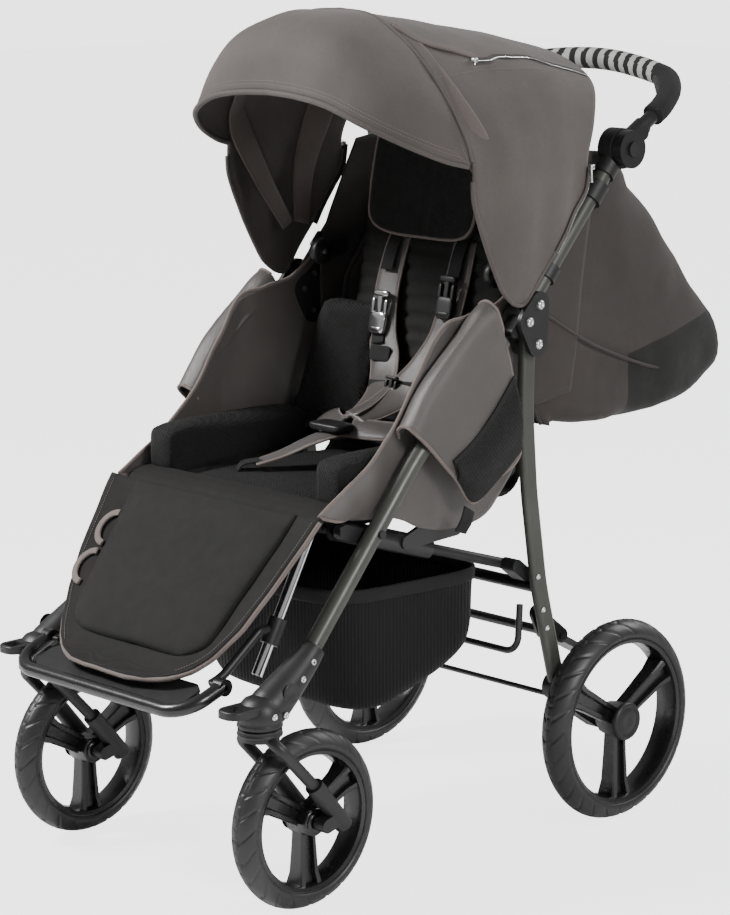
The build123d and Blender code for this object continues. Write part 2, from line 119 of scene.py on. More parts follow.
def rounded(half_width, half_height, corner=0.5, count=16):
    """The outline of a strap or strip, as (across, up) points."""
    a = np.linspace(0, 2 * math.pi, count, endpoint=False)
    shape = lambda t: np.sign(t) * np.abs(t) ** corner
    return np.stack([shape(np.cos(a)) * half_width, shape(np.sin(a)) * half_height], 1)


def swept(path, ring, up=None, closed=False, scale=None):
    """An outline carried along a path; up holds the outline upright, as one vector or one for each point."""
    path = np.array(path)
    if closed:
        path = path[:-1]
        along = unit(np.roll(path, -1, 0) - np.roll(path, 1, 0))
    else:
        along = unit(np.gradient(path, axis=0))
    up = np.array([0.02, 0.03, 1.0]) if up is None else np.array(up, float)
    up = np.broadcast_to(up, path.shape)
    side = unit(np.cross(along, up))
    top = np.cross(side, along)
    size = np.ones(len(path)) if scale is None else np.array(scale)
    points = (path[:, None] + side[:, None] * (ring[None, :, :1] * size[:, None, None])
              + top[:, None] * (ring[None, :, 1:] * size[:, None, None]))
    n, m = len(path), len(ring)
    faces = quads(n, m, wrap=True)
    if closed:
        faces += [((n - 1) * m + i, (n - 1) * m + (i + 1) % m, (i + 1) % m, i) for i in range(m)]
    else:
        faces += [tuple(range(m))[::-1], tuple(range((n - 1) * m, n * m))]
    return points.reshape(-1, 3), faces


def cord_of(path, radius, closed=False, count=10):
    return swept(path, rounded(radius, radius, 1, count), closed=closed)


def normals_of(grid):
    return unit(np.cross(np.gradient(grid, axis=0), np.gradient(grid, axis=1)))


def area_of(grid):
    """The area of a grid of points, in square metres."""
    a, b = np.diff(grid, axis=0)[:, :-1], np.diff(grid, axis=1)[:-1]
    return round(float(np.linalg.norm(np.cross(a, b), axis=2).sum()), 3)


def cloth(grid, thickness):
    """A sheet of fabric with two faces and an edge, from a grid of points."""
    n = normals_of(grid) * thickness / 2
    rows, columns = grid.shape[:2]
    count = rows * columns
    points = np.vstack([(grid + n).reshape(-1, 3), (grid - n).reshape(-1, 3)])
    top = quads(rows, columns)
    loop = ([(0, c) for c in range(columns)] + [(r, columns - 1) for r in range(1, rows)]
            + [(rows - 1, c) for c in range(columns - 2, -1, -1)] + [(r, 0) for r in range(rows - 2, 0, -1)])
    index = [r * columns + c for r, c in loop]
    rim = [(a, a + count, b + count, b) for a, b in zip(index, index[1:] + index[:1])]
    return points, top + [tuple(i + count for i in face)[::-1] for face in top] + rim


def spread(rows, u, v):
    """A smooth grid through rows of points: u points across the rows, v along them."""
    long = np.stack([through(row, v) for row in rows])
    return np.stack([through(long[:, k], u) for k in range(v)], 1)


def wrinkled(points, amount, scale, seed=0.0, stretch=(1, 1, 1)):
    """Soft folds: each point moves by smooth noise."""
    flat = points.reshape(-1, 3)
    moves = [noise.noise_vector(Vector((p * np.array(stretch) * scale + seed).tolist())) for p in flat]
    return points + np.array([tuple(m) for m in moves]).reshape(points.shape) * amount


def block(half, power=5.0, cuts=12):
    """A crowned block: a cube swelled to a rounded form."""
    bm = bmesh.new()
    bmesh.ops.create_cube(bm, size=2)
    bmesh.ops.subdivide_edges(bm, edges=bm.edges, cuts=cuts, use_grid_fill=True)
    p = np.array([v.co[:] for v in bm.verts])
    faces = [tuple(v.index for v in f.verts) for f in bm.faces]
    bm.free()
    r = (np.abs(p) ** power).sum(1, keepdims=True) ** (1 / power)
    return p / r * np.array(half), faces


def disc(centre, radius, half_width, bevel=0.0015, axis=0, count=40):
    """A turned disc along an axis, with bevelled rims."""
    profile = [(0, -half_width), (radius - bevel, -half_width), (radius, bevel - half_width),
               (radius, half_width - bevel), (radius - bevel, half_width), (0, half_width)]
    return turned(profile, centre, axis, count)


def turned(profile, centre, axis=0, count=40):
    """A turned form from (radius, along) points."""
    a = np.linspace(0, 2 * math.pi, count, endpoint=False)
    rows = [np.stack([np.full(count, h), r * np.cos(a), r * np.sin(a)], 1) for r, h in profile]
    points = np.roll(np.vstack(rows), axis, axis=1) + centre
    return points, quads(len(profile), count, wrap=True)

# %% [markdown]
# ## Finishes
# Each finish is a node material on object coordinates. A field is a shader value that takes part in sums.
# %%
class Field:
    """A shader value that adds, multiplies and compares like a number."""

    def __init__(self, tree, socket):
        self.tree, self.socket = tree, socket

    def math(self, operation, *values):
        node = self.tree.nodes.new("ShaderNodeMath")
        node.operation = operation
        for socket, value in zip(node.inputs, (self, *values)):
            if isinstance(value, Field):
                self.tree.links.new(value.socket, socket)
            else:
                socket.default_value = value
        return Field(self.tree, node.outputs[0])

    def __add__(self, other):
        return self.math("ADD", other)

    def __sub__(self, other):
        return self.math("SUBTRACT", other)

    def __mul__(self, other):
        return self.math("MULTIPLY", other)

    def __truediv__(self, other):
        return self.math("DIVIDE", other)

    def __gt__(self, other):
        return self.math("GREATER_THAN", other)

    def sin(self):
        return self.math("SINE")

    def abs(self):
        return self.math("ABSOLUTE")


class Finish:
    """A material whose colour, roughness and relief are built from fields."""

    def __init__(self, name, colour, roughness, metallic=0.0, sheen=0.0, coat=0.0, specular=0.5):
        self.data = bpy.data.materials.new(name)
        self.data.use_nodes = True
        self.tree = self.data.node_tree
        self.shader = self.tree.nodes["Principled BSDF"]
        self.place = self.tree.nodes.new("ShaderNodeTexCoord").outputs["Object"]
        values = {"Base Color": (*colour, 1), "Roughness": roughness, "Metallic": metallic,
                  "Sheen Weight": sheen, "Coat Weight": coat, "Specular IOR Level": specular}
        for key, value in values.items():
            self.shader.inputs[key].default_value = value
        self.colour = colour

    def axes(self):
        node = self.tree.nodes.new("ShaderNodeSeparateXYZ")
        self.tree.links.new(self.place, node.inputs[0])
        return [Field(self.tree, s) for s in node.outputs]

    def grain(self, scale, detail=2.0, stretch=None):
        node = self.tree.nodes.new("ShaderNodeTexNoise")
        node.inputs["Scale"].default_value = scale
        node.inputs["Detail"].default_value = detail
        place = self.place
        if stretch:
            mapping = self.tree.nodes.new("ShaderNodeMapping")
            mapping.inputs["Scale"].default_value = stretch
            self.tree.links.new(place, mapping.inputs["Vector"])
            place = mapping.outputs[0]
        self.tree.links.new(place, node.inputs["Vector"])
        return Field(self.tree, node.outputs["Fac"])

    def cells(self, scale):
        node = self.tree.nodes.new("ShaderNodeTexVoronoi")
        node.inputs["Scale"].default_value = scale
        self.tree.links.new(self.place, node.inputs["Vector"])
        return Field(self.tree, node.outputs["Distance"])

    def tint(self, field, low, high, dark=0.75, light=1.25):
        """The colour runs from dark to light as the field runs from low to high."""
        ramp = self.tree.nodes.new("ShaderNodeMapRange")
        ramp.inputs["From Min"].default_value = low
        ramp.inputs["From Max"].default_value = high
        self.tree.links.new(field.socket, ramp.inputs["Value"])
        mix = self.tree.nodes.new("ShaderNodeMix")
        mix.data_type = "RGBA"
        mix.inputs[6].default_value = (*[c * dark for c in self.colour], 1)
        mix.inputs[7].default_value = (*[c * light for c in self.colour], 1)
        self.tree.links.new(ramp.outputs[0], mix.inputs[0])
        self.tree.links.new(mix.outputs[2], self.shader.inputs["Base Color"])
        return self

    def dye(self, field, colour):
        """Another colour where the field is 1."""
        mix = self.tree.nodes.new("ShaderNodeMix")
        mix.data_type = "RGBA"
        self.tree.links.new(field.socket, mix.inputs[0])
        self.tree.links.new(self.shader.inputs["Base Color"].links[0].from_socket, mix.inputs[6])
        mix.inputs[7].default_value = (*colour, 1)
        self.tree.links.new(mix.outputs[2], self.shader.inputs["Base Color"])
        return self

    def rough(self, field, low, high):
        ramp = self.tree.nodes.new("ShaderNodeMapRange")
        ramp.inputs["To Min"].default_value = low
        ramp.inputs["To Max"].default_value = high
        self.tree.links.new(field.socket, ramp.inputs["Value"])
        self.tree.links.new(ramp.outputs[0], self.shader.inputs["Roughness"])
        return self

    def relief(self, field, depth, strength=1.0):
        bump = self.tree.nodes.new("ShaderNodeBump")
        bump.inputs["Strength"].default_value = strength
        bump.inputs["Distance"].default_value = depth
        self.tree.links.new(field.socket, bump.inputs["Height"])
        if self.shader.inputs["Normal"].links:
            self.tree.links.new(self.shader.inputs["Normal"].links[0].from_socket, bump.inputs["Normal"])
        self.tree.links.new(bump.outputs[0], self.shader.inputs["Normal"])
        return self


def weave(finish, pitch, depth, low=0.62, high=0.8):
    """A plain weave: two crossed waves, with slubs and broad shading."""
    x, y, z = finish.axes()
    k = 2 * math.pi / pitch
    threads = ((x + y) * k).sin() * ((z - y * 0.35) * k).sin()
    finish.relief(threads, depth, 0.5)
    finish.relief(finish.grain(22, 3), 0.003, 0.22)
    slub = finish.grain(520, 3) * 0.5 + finish.grain(9, 3) * 0.5
    return finish.tint(slub, 0.34, 0.66, 0.84, 1.18).rough(finish.grain(60), low, high)


def net(finish, pitch, depth):
    """Spacer mesh: rows of small holes, with painted shade in the holes and painted light on the threads between them.
    """
    x, y, z = finish.axes()
    k = 2 * math.pi / pitch
    holes = ((x + y * 0.6 + z * 0.5) * k).sin() * ((z - y * 0.8 - x * 0.3) * k).sin()
    finish.relief(holes, depth, 0.9)
    # Painted shade and light: the colour is darker in the holes and lighter on the threads between them.
    return finish.tint(holes, -0.7, 0.8, 0.35, 1.7).rough(finish.grain(90), 0.6, 0.85)


def moulded(finish, low=0.38, high=0.55):
    """Moulded plastic: a fine spark texture, a little uneven shine and dust."""
    finish.relief(finish.grain(1400, 2), 0.0002, 0.35)
    return finish.tint(finish.grain(14, 4), 0.3, 0.7, 0.8, 1.3).rough(finish.grain(32, 3), low, high)


def painted(finish, low=0.28, high=0.42):
    """Metallic paint: fine flake, orange peel and slightly rubbed patches."""
    finish.relief(finish.grain(240, 1), 0.0002, 0.2)
    flake = finish.grain(1800, 1) * 0.5 + finish.grain(11, 3) * 0.5
    return finish.tint(flake, 0.35, 0.65, 0.8, 1.25).rough(finish.grain(26, 3), low, high)

# %% [markdown]
# The fabrics, plastics, paints and metals of the chair.
# %%
TAUPE = (0.066, 0.056, 0.052)
canopy_cloth = weave(Finish("canopy_cloth", TAUPE, 0.7, sheen=0.08, specular=0.25), 0.0011, 0.0002)
lining_cloth = weave(Finish("lining_cloth", (0.095, 0.078, 0.071), 0.6, sheen=0.08, specular=0.25), 0.0011, 0.0002)
satin_cloth = weave(Finish("satin_cloth", (0.046, 0.039, 0.036), 0.42, sheen=0.12, specular=0.6), 0.0010, 0.00012,
                    0.34, 0.5)
pouch_cloth = weave(Finish("pouch_cloth", (0.030, 0.025, 0.023), 0.7, sheen=0.05, specular=0.25), 0.0012, 0.0002)
bag_cloth = weave(Finish("bag_cloth", (0.030, 0.025, 0.023), 0.7, sheen=0.05, specular=0.25), 0.0012, 0.0002)
_, bag_y, bag_z = bag_cloth.axes()
bag_cloth.dye((bag_y * 0.228 - bag_z > -0.622) * (bag_y > 0.30), (0.006, 0.0055, 0.005))
piping_cloth = weave(Finish("piping_cloth", (0.13, 0.105, 0.095), 0.6, sheen=0.1, specular=0.25), 0.0012, 0.0002)
black_cloth = weave(Finish("black_cloth", (0.0085, 0.0078, 0.0074), 0.8, sheen=0.02, specular=0.18), 0.0012, 0.0003)
mesh_cloth = net(Finish("mesh_cloth", (0.0065, 0.0063, 0.0062), 0.8, sheen=0.02, specular=0.22), 0.0042, 0.0009)
webbing = weave(Finish("webbing", (0.006, 0.006, 0.006), 0.65, sheen=0.02, specular=0.25), 0.0022, 0.0004)
basket_cloth = Finish("basket_cloth", (0.005, 0.005, 0.005), 0.8, sheen=0.02, specular=0.2)
ribs_x, ribs_y, ribs_z = basket_cloth.axes()
basket_ribs = ((ribs_x + ribs_y) * (2 * math.pi / 0.007)).sin()
# Painted shade and light: the ribs' grooves are darker and their crests lighter, besides the bump.
basket_cloth.relief(basket_ribs, 0.0007, 0.6).tint(basket_ribs, -0.6, 0.9, 0.7, 1.4)
thread = Finish("thread", (0.15, 0.125, 0.112), 0.6, sheen=0.1, specular=0.2)
thread.tint(thread.grain(900, 2), 0.35, 0.65, 0.7, 1.3)
frame_paint = painted(Finish("frame_paint", (0.042, 0.044, 0.037), 0.4, metallic=0.2, coat=0.05), 0.36, 0.5)
black_paint = painted(Finish("black_paint", (0.010, 0.010, 0.010), 0.35, coat=0.1, specular=0.4))
plastic = moulded(Finish("plastic", (0.0085, 0.0085, 0.0085), 0.42, specular=0.42))
gloss = moulded(Finish("gloss_plastic", (0.0065, 0.0065, 0.0065), 0.25, coat=0.15, specular=0.45), 0.2, 0.36)
chrome = Finish("chrome", (0.72, 0.72, 0.74), 0.12, metallic=1.0)
chrome.rough(chrome.grain(40, 3), 0.06, 0.2).relief(chrome.grain(30, 1), 0.0002, 0.1)
steel = Finish("steel", (0.6, 0.6, 0.61), 0.3, metallic=1.0)
steel.rough(steel.grain(300, 3), 0.2, 0.42).relief(steel.grain(700, 2), 0.0001, 0.3)
foam = moulded(Finish("foam", (0.009, 0.009, 0.009), 0.85, specular=0.25), 0.8, 0.95)
stripe = moulded(Finish("grip_stripe", (0.26, 0.26, 0.25), 0.7, specular=0.25), 0.6, 0.8)
print(len(bpy.data.materials), "finishes")

# %% [markdown]
# ## Pieces and CAD nodes
# A piece is a mesh with a finish that rides on a body. The CAD nodes whose shapes are right only get a finish.
# %%
def piece(name, part, finish, body, replaces=(), flat=False):
    points, faces = part
    mesh = bpy.data.meshes.new(name)
    mesh.from_pydata(np.asarray(points).tolist(), [], [tuple(map(int, f)) for f in faces])
    bm = bmesh.new()
    bm.from_mesh(mesh)
    bmesh.ops.recalc_face_normals(bm, faces=bm.faces)
    bm.to_mesh(mesh)
    bm.free()
    mesh.materials.append(finish.data)
    if not flat:
        mesh.shade_smooth()
    obj = bpy.data.objects.new(name, mesh)
    bpy.context.scene.collection.objects.link(obj)
    if body:
        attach(obj, body)
    if replaces:
        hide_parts(*replaces)
    return obj


def finish_nodes(finish, *names):
    """Gives CAD nodes a finish."""
    for name in names:
        mesh = frame["nodes"][name].data
        mesh.materials.clear()
        mesh.materials.append(finish.data)


sides = ("left", "right")
finish_nodes(frame_paint, *[f"{n}_{s}" for s in sides for n in ("front_leg", "rear_leg", "handle_tube")])
finish_nodes(plastic, "pivot_plates", "leg_bridges", "seat_brackets", "axle_blocks", "adjuster_bases",
             "canopy_mounts", "foot_plate", "foot_clamps", "canopy_bows", "back_brackets", "fold_braces",
             *[f"{n}_{s}" for s in sides for n in ("fold_trigger", "adjust_button", "swivel_lock",
                                                   "castor_fork", "castor_housing")])
finish_nodes(black_paint, "seat_frame", "rear_bars", "rear_axle_rod", "brake_bar", "handle_bar")
finish_nodes(gloss, "foot_bar", *[f"{n}_rim_{s}" for s in sides for n in ("front", "rear")])
finish_nodes(chrome, "shin_tubes")
finish_nodes(steel, "plate_pins")
print("nodes finished")

# %% [markdown]
# ## Stitches, teeth and rivets
# One geometry-nodes group repeats a small form along a line, at a named spacing, and turns it into plain mesh.
# %%
def repeater():
    """The node group: Spacing, Length, Width, Height and Finish are its inputs."""
    tree = bpy.data.node_groups.new("Repeat along a line", "GeometryNodeTree")
    face = tree.interface
    face.new_socket("Geometry", in_out="INPUT", socket_type="NodeSocketGeometry")
    for name, value in (("Spacing", 0.004), ("Length", 0.0025), ("Width", 0.0008), ("Height", 0.0008)):
        face.new_socket(name, in_out="INPUT", socket_type="NodeSocketFloat").default_value = value
    face.new_socket("Finish", in_out="INPUT", socket_type="NodeSocketMaterial")
    face.new_socket("Geometry", in_out="OUTPUT", socket_type="NodeSocketGeometry")
    make, link = tree.nodes.new, tree.links.new
    source, result = make("NodeGroupInput"), make("NodeGroupOutput")
    curve, points = make("GeometryNodeMeshToCurve"), make("GeometryNodeCurveToPoints")
    points.mode = "LENGTH"
    ball, size = make("GeometryNodeMeshUVSphere"), make("ShaderNodeCombineXYZ")
    ball.inputs["Segments"].default_value, ball.inputs["Rings"].default_value = 8, 5
    ball.inputs["Radius"].default_value = 0.5
    place, real, paint = (make("GeometryNodeInstanceOnPoints"), make("GeometryNodeRealizeInstances"),
                          make("GeometryNodeSetMaterial"))
    smooth = make("GeometryNodeSetShadeSmooth")
    link(source.outputs["Geometry"], curve.inputs[0])
    link(curve.outputs[0], points.inputs["Curve"])
    link(source.outputs["Spacing"], points.inputs["Length"])
    for axis, name in zip("XYZ", ("Width", "Height", "Length")):
        link(source.outputs[name], size.inputs[axis])
    link(points.outputs["Points"], place.inputs["Points"])
    link(points.outputs["Rotation"], place.inputs["Rotation"])
    link(ball.outputs["Mesh"], place.inputs["Instance"])
    link(size.outputs[0], place.inputs["Scale"])
    link(place.outputs[0], real.inputs[0])
    link(real.outputs[0], smooth.inputs[0])
    link(smooth.outputs[0], paint.inputs["Geometry"])
    link(source.outputs["Finish"], paint.inputs["Material"])
    link(paint.outputs[0], result.inputs[0])
    return tree


repeat_group = repeater()


def repeated(name, paths, finish, body, spacing=0.004, length=0.0026, width=0.0009, height=0.0009):
    """Small forms along paths, as one plain mesh on a body."""
    points = np.vstack(paths)
    edges, start = [], 0
    for path in paths:
        edges += [(start + i, start + i + 1) for i in range(len(path) - 1)]
        start += len(path)
    mesh = bpy.data.meshes.new(name + "_line")
    mesh.from_pydata(points.tolist(), edges, [])
    line = bpy.data.objects.new(name + "_line", mesh)
    bpy.context.scene.collection.objects.link(line)
    modifier = line.modifiers.new("Repeat", "NODES")
    modifier.node_group = repeat_group
    keys = {s.name: s.identifier for s in repeat_group.interface.items_tree if s.in_out == "INPUT"}
    values = {"Spacing": spacing, "Length": length, "Width": width, "Height": height, "Finish": finish.data}
    for key, value in values.items():
        modifier[keys[key]] = value
    bpy.context.view_layer.update()
    solid = bpy.data.meshes.new_from_object(line.evaluated_get(bpy.context.evaluated_depsgraph_get()))
    bpy.data.objects.remove(line)
    obj = bpy.data.objects.new(name, solid)
    bpy.context.scene.collection.objects.link(obj)
    if body:
        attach(obj, body)
    print(name, len(solid.polygons), "faces")
    return obj

# %% [markdown]
# ## Canopy
# The hood is one curved sheet, drawn as rows from its crest down to the tongue at each side.
# The peak in front is a second sheet between the hood's front seam and its own hem.
# %%
PEAK = [
    [(0, -245, 1101), (60, -247, 1098), (120, -245, 1088), (175, -228, 1064), (215, -184, 1036), (238, -134, 1014),
     (250, -98, 1004)],
    [(0, -236, 1160), (60, -234, 1157), (120, -228, 1143), (175, -208, 1106), (215, -168, 1066), (241, -126, 1028),
     (252, -97, 1005)],
    [(0, -200, 1198), (60, -198, 1194), (118, -192, 1175), (173, -176, 1133), (216, -148, 1083), (243, -117, 1037),
     (253, -97, 1006)],
    [(0, -155, 1212), (60, -153, 1207), (115, -148, 1186), (173, -140, 1142), (217, -127, 1089), (245, -109, 1042),
     (254, -96, 1008)],
    [(0, -105, 1211), (60, -105, 1206), (112, -105, 1184), (173, -105, 1138), (220, -104, 1084), (247, -102, 1042),
     (255, -96, 1010)]]
HOOD = [
    [(0, -105, 1211), (0, 0, 1196), (0, 120, 1176), (0, 245, 1150)],
    [(60, -105, 1206), (62, 0, 1191), (62, 120, 1172), (62, 243, 1147)],
    [(112, -105, 1184), (118, 0, 1173), (120, 120, 1159), (120, 238, 1134)],
    [(173, -105, 1138), (182, 0, 1138), (185, 110, 1133), (184, 222, 1112)],
    [(220, -104, 1084), (228, -5, 1090), (232, 95, 1093), (226, 192, 1088)],
    [(247, -102, 1042), (253, -15, 1045), (254, 75, 1050), (248, 164, 1048)],
    [(255, -96, 1010), (262, -15, 1004), (263, 66, 1004), (256, 143, 1002)],
    [(256, -94, 960), (264, -15, 955), (264, 62, 953), (256, 139, 958)],
    [(255, -76, 912), (262, -20, 906), (262, 42, 906), (256, 108, 914)],
    [(254, -55, 868), (258, -16, 864), (258, 32, 864), (254, 76, 868)],
    [(252, -25, 818), (254, -8, 816), (254, 14, 816), (252, 34, 818)],
    [(250, 0, 800), (250, 7, 798), (250, 15, 798), (250, 21, 801)]]


def whole(rows, u, v):
    """Both halves of a symmetric sheet; each row runs away from the middle line."""
    half = spread(np.array(rows) / 1000, u, v)
    return np.concatenate([mirrored(half[:, :0:-1]), half], axis=1)


peak = whole(PEAK, 26, 40)
hood_half = spread([np.array(row) / 1000 for row in zip(*HOOD)], 44, 70)
hood = np.concatenate([mirrored(hood_half[:, :0:-1]), hood_half], axis=1)
low = np.clip((1.12 - hood[..., 2]) / 0.12, 0, 1)[..., None] * np.clip((hood[..., 2] - 0.80) / 0.06, 0, 1)[..., None]
folds = wrinkled(hood, 0.0055, 13.0, 3.1, (0.6, 1.5, 0.55)) - hood
hood = hood + folds * low + (wrinkled(hood, 0.002, 22, 7.7) - hood) * (1 - low)
hood[0] = hood[0] * 0 + np.concatenate([mirrored(hood_half[:, :0:-1]), hood_half], axis=1)[0]
peak_soft = wrinkled(peak, 0.0022, 16.0, 1.7)
peak_soft[-1], peak_soft[0] = peak[-1], peak[0]
hood_sheet = piece("canopy_hood_cloth", cloth(hood, 0.0022), canopy_cloth, None, ["canopy_main"])
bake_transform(hood_sheet)
peak_sheet = piece("canopy_peak_cloth", cloth(peak_soft, 0.0022), canopy_cloth, "canopy_hood", ["canopy_visor"])
print("canopy", hood.shape, peak.shape)

# %% [markdown]
# The hem is bound with piping and two rows of stitches, and the seam over the front bow stands up as a welt.
# %%
def offset_in(grid, row, distance):
    """A line on the sheet, a distance in from its first or last row."""
    order = grid if row == 0 else grid[::-1]
    reach = np.cumsum(np.linalg.norm(np.diff(order, axis=0), axis=2), axis=0)
    line = []
    for k in range(grid.shape[1]):
        r = np.r_[0, reach[:, k]]
        line.append([np.interp(min(distance, r[-1] * 0.4), r, order[:, k, a]) for a in range(3)])
    return np.array(line)


def lifted(line, centre, amount=0.0013):
    return line + unit(line - centre) * amount


middle = np.array([0, 0.0, 0.95])
hem_edge = peak[0]
piece("canopy_hem_piping", cord_of(through(hem_edge, 160), 0.0042), canopy_cloth, "canopy_hood")
piece("canopy_seam_welt", cord_of(lifted(through(peak[-1], 160), middle, 0.001), 0.0028), canopy_cloth, "canopy_hood")
repeated("canopy_hem_stitches", [lifted(offset_in(peak_soft, 0, d), middle) for d in (0.011, 0.016)], thread,
         "canopy_hood")
repeated("canopy_seam_stitches", [lifted(offset_in(peak_soft, -1, 0.008), middle)], thread, "canopy_hood")

# %% [markdown]
# Piping runs down the hood's front edge, round the tongue and up its rear edge.
# %%
def hood_edge(columns, side):
    line = np.vstack([hood[0, columns], hood[1:-1, columns[-1]], hood[-1, columns[::-1]]])
    return line if side > 0 else line


half_count = hood_half.shape[1]
low_left = list(range(half_count - 1 + 44, hood.shape[1]))
low_right = [hood.shape[1] - 1 - c for c in low_left]
for name, columns in (("left", low_left), ("right", low_right)):
    edge = np.vstack([hood[0, columns], hood[1:-1, columns[-1]], hood[-1, columns[::-1]]])
    pipe = piece("tongue_piping_" + name, cord_of(through(edge[::3], 200), 0.0034), canopy_cloth, None)
    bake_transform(pipe)

# %% [markdown]
# ## Zips, vent and inner sleeves of the canopy
# A zip is a dark tape with a row of silver teeth and a pull at its end.
# %%
def ribbon(path, width, thick, up, corner=0.5, scale=None, count=16):
    return swept(path, rounded(width / 2, thick / 2, corner, count), up=up, scale=scale)


def out_of(path, centre=middle):
    return unit(np.array(path) - centre)


def zip_along(name, points, body, joint=None):
    """Tape, teeth and pull of a zip along a line of points on the cloth."""
    line = through(points, 120)
    up = out_of(line)
    tape = piece(name + "_tape", ribbon(line + up * 0.0012, 0.016, 0.0012, up), pouch_cloth, body)
    teeth = repeated(name + "_teeth", [line + up * 0.0026], steel, body, 0.0022, 0.0013, 0.0046, 0.0022)
    end = line[0] + up[0] * 0.004
    lug = merged([(p * 1 + end, f) for p, f in [block((0.0045, 0.0045, 0.004), 4, 4)]]
                 + [cord_of(through([end, end + mm(1, -1, -9), end + mm(2, -1, -22)], 12), 0.0022)])
    pull = piece(name + "_pull", lug, steel, body)
    return tape, teeth, pull


def hood_blend(*objects):
    for obj in objects:
        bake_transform(obj)


def on_hood(u, v):
    """A point on the hood: u from front to back, v from the crest to the child's left side, both 0 to 1."""
    rows, columns = hood_half.shape[:2]
    start = hood.shape[1] - columns
    return hood[int(round(u * (rows - 1))), start + int(round(v * (columns - 1)))]


for side, sign in (("left", 1), ("right", -1)):
    flip = np.array([sign, 1, 1])
    seam = [on_hood(u, 0.33 + 0.01 * math.sin(9 * u)) * flip for u in np.linspace(0.28, 0.97, 9)]
    hood_blend(*zip_along("canopy_zip_" + side, seam, None))
    tail = [on_hood(0.995, v) * flip + mm(0, 3, 0) for v in (0.62, 0.68, 0.74, 0.80, 0.86)]
    hood_blend(*zip_along("tongue_zip_" + side, tail, None))
    vent = [on_hood(u, v) * flip for u, v in ((0.02, 0.17), (0.1, 0.24), (0.2, 0.29), (0.3, 0.32))]
    line = through(vent, 60)
    hood_blend(piece("vent_lip_" + side, ribbon(line + out_of(line) * 0.003, 0.011, 0.004, out_of(line)), lining_cloth,
                     None))
    seam_low = through([on_hood(u, 0.36) * flip for u in np.linspace(0.02, 0.98, 12)], 90)
    hood_blend(repeated("canopy_roof_stitches_" + side, [seam_low + out_of(seam_low) * 0.0013], thread, None))
    sleeves = []
    for stations in ([(234, 8, 872), (250, -32, 950), (245, -82, 1035), (217, -98, 1083), (170, -100, 1128),
                      (108, -100, 1172), (0, -100, 1196)],
                     [(234, 36, 874), (254, 62, 960), (246, 92, 1048), (223, 106, 1084), (176, 112, 1126),
                      (112, 115, 1148), (0, 116, 1163)]):
        line = through([mm(*p) * flip for p in stations], 60)
        wide = 0.55 + 0.45 * np.clip(np.linspace(0, 3, 60), 0, 1)
        sleeves.append(ribbon(line, 0.050, 0.005, out_of(line, np.array([0, 0.02, 0.95])), 0.6, wide))
    hood_blend(piece("bow_sleeves_" + side, merged(sleeves), lining_cloth, None, ["canopy_bows"]))
    hub = joint_at["canopy_fold"] + mm(182 * sign, 0, 0)
    cap = merged([disc(hub, 0.020, 0.006), disc(hub - mm(6.5 * sign, 0, 0), 0.013, 0.0012)])
    piece("canopy_hub_" + side, cap, plastic, "handle_frame")
    piece("canopy_hub_screw_" + side, disc(hub - mm(8 * sign, 0, 0), 0.0045, 0.0012), steel, "handle_frame")

# %% [markdown]
# ## Rear pouch
# A bag lofted round its own outline: each row starts at the open front edge, runs out over the side and across.
# %%
POUCH = [((250, 990), (236, 984)), ((297, 972), (214, 952)), ((368, 898), (184, 908)), ((448, 812), (150, 864)),
         ((520, 732), (120, 824)), ((556, 684), (96, 788)), ((546, 644), (88, 740)), ((484, 612), (84, 694)),
         ((372, 592), (88, 656)), ((240, 592), (102, 626)), ((130, 602), (116, 606))]


def pouch_row(outline, edge):
    o, e = np.array(outline), np.array(edge)
    spots = [(0, o), (95, o), (168, o * 0.99 + e * 0.01), (194, o * 0.88 + e * 0.12), (206, o * 0.5 + e * 0.5),
             (200, o * 0.15 + e * 0.85), (196, e)]
    return [mm(x, p[0], p[1]) for x, p in spots]


pouch_half = spread([pouch_row(*row) for row in POUCH], 60, 46)
pouch = np.concatenate([mirrored(pouch_half[:, :0:-1]), pouch_half], axis=1)
pouch = wrinkled(pouch, 0.006, 9.0, 4.4) + (wrinkled(pouch, 0.0025, 24.0, 8.2) - pouch)
pouch_bag = piece("rear_pouch_bag", cloth(pouch, 0.0024), bag_cloth, "handle_frame", ["rear_pouch"])
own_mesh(pouch_bag)
trims = []
for sign in (-1, 1):
    flip = np.array([sign, 1, 1])
    edge = through(pouch_half[:, -1], 120) * flip
    diagonal = through(np.array([mm(209, 110, 770), mm(211, 210, 716), mm(207, 330, 672), mm(198, 420, 652),
                                 mm(186, 500, 640)]), 90) * flip
    trims += [cord_of(edge, 0.0032), cord_of(diagonal, 0.0026)]
piping = piece("rear_pouch_piping", merged(trims), pouch_cloth, "handle_frame")
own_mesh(piping)
GUSSET = [[(60, 640), (110, 640), (165, 650)], [(52, 760), (110, 765), (185, 775)], [(58, 850), (120, 865), (200, 880)],
          [(88, 930), (140, 945), (215, 960)], [(125, 1000), (165, 1005), (230, 1000)]]
gusset = wrinkled(spread([[mm(207, y, z) for y, z in row] for row in GUSSET], 40, 24), 0.004, 12.0, 7.7, (1, 1, 0.5))
for side, sign in (("left", 1), ("right", -1)):
    wall = piece("side_gusset_" + side, cloth(gusset * np.array([sign, 1, 1]), 0.002), pouch_cloth, "handle_frame")
    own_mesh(wall)
print("pouch", pouch.shape)

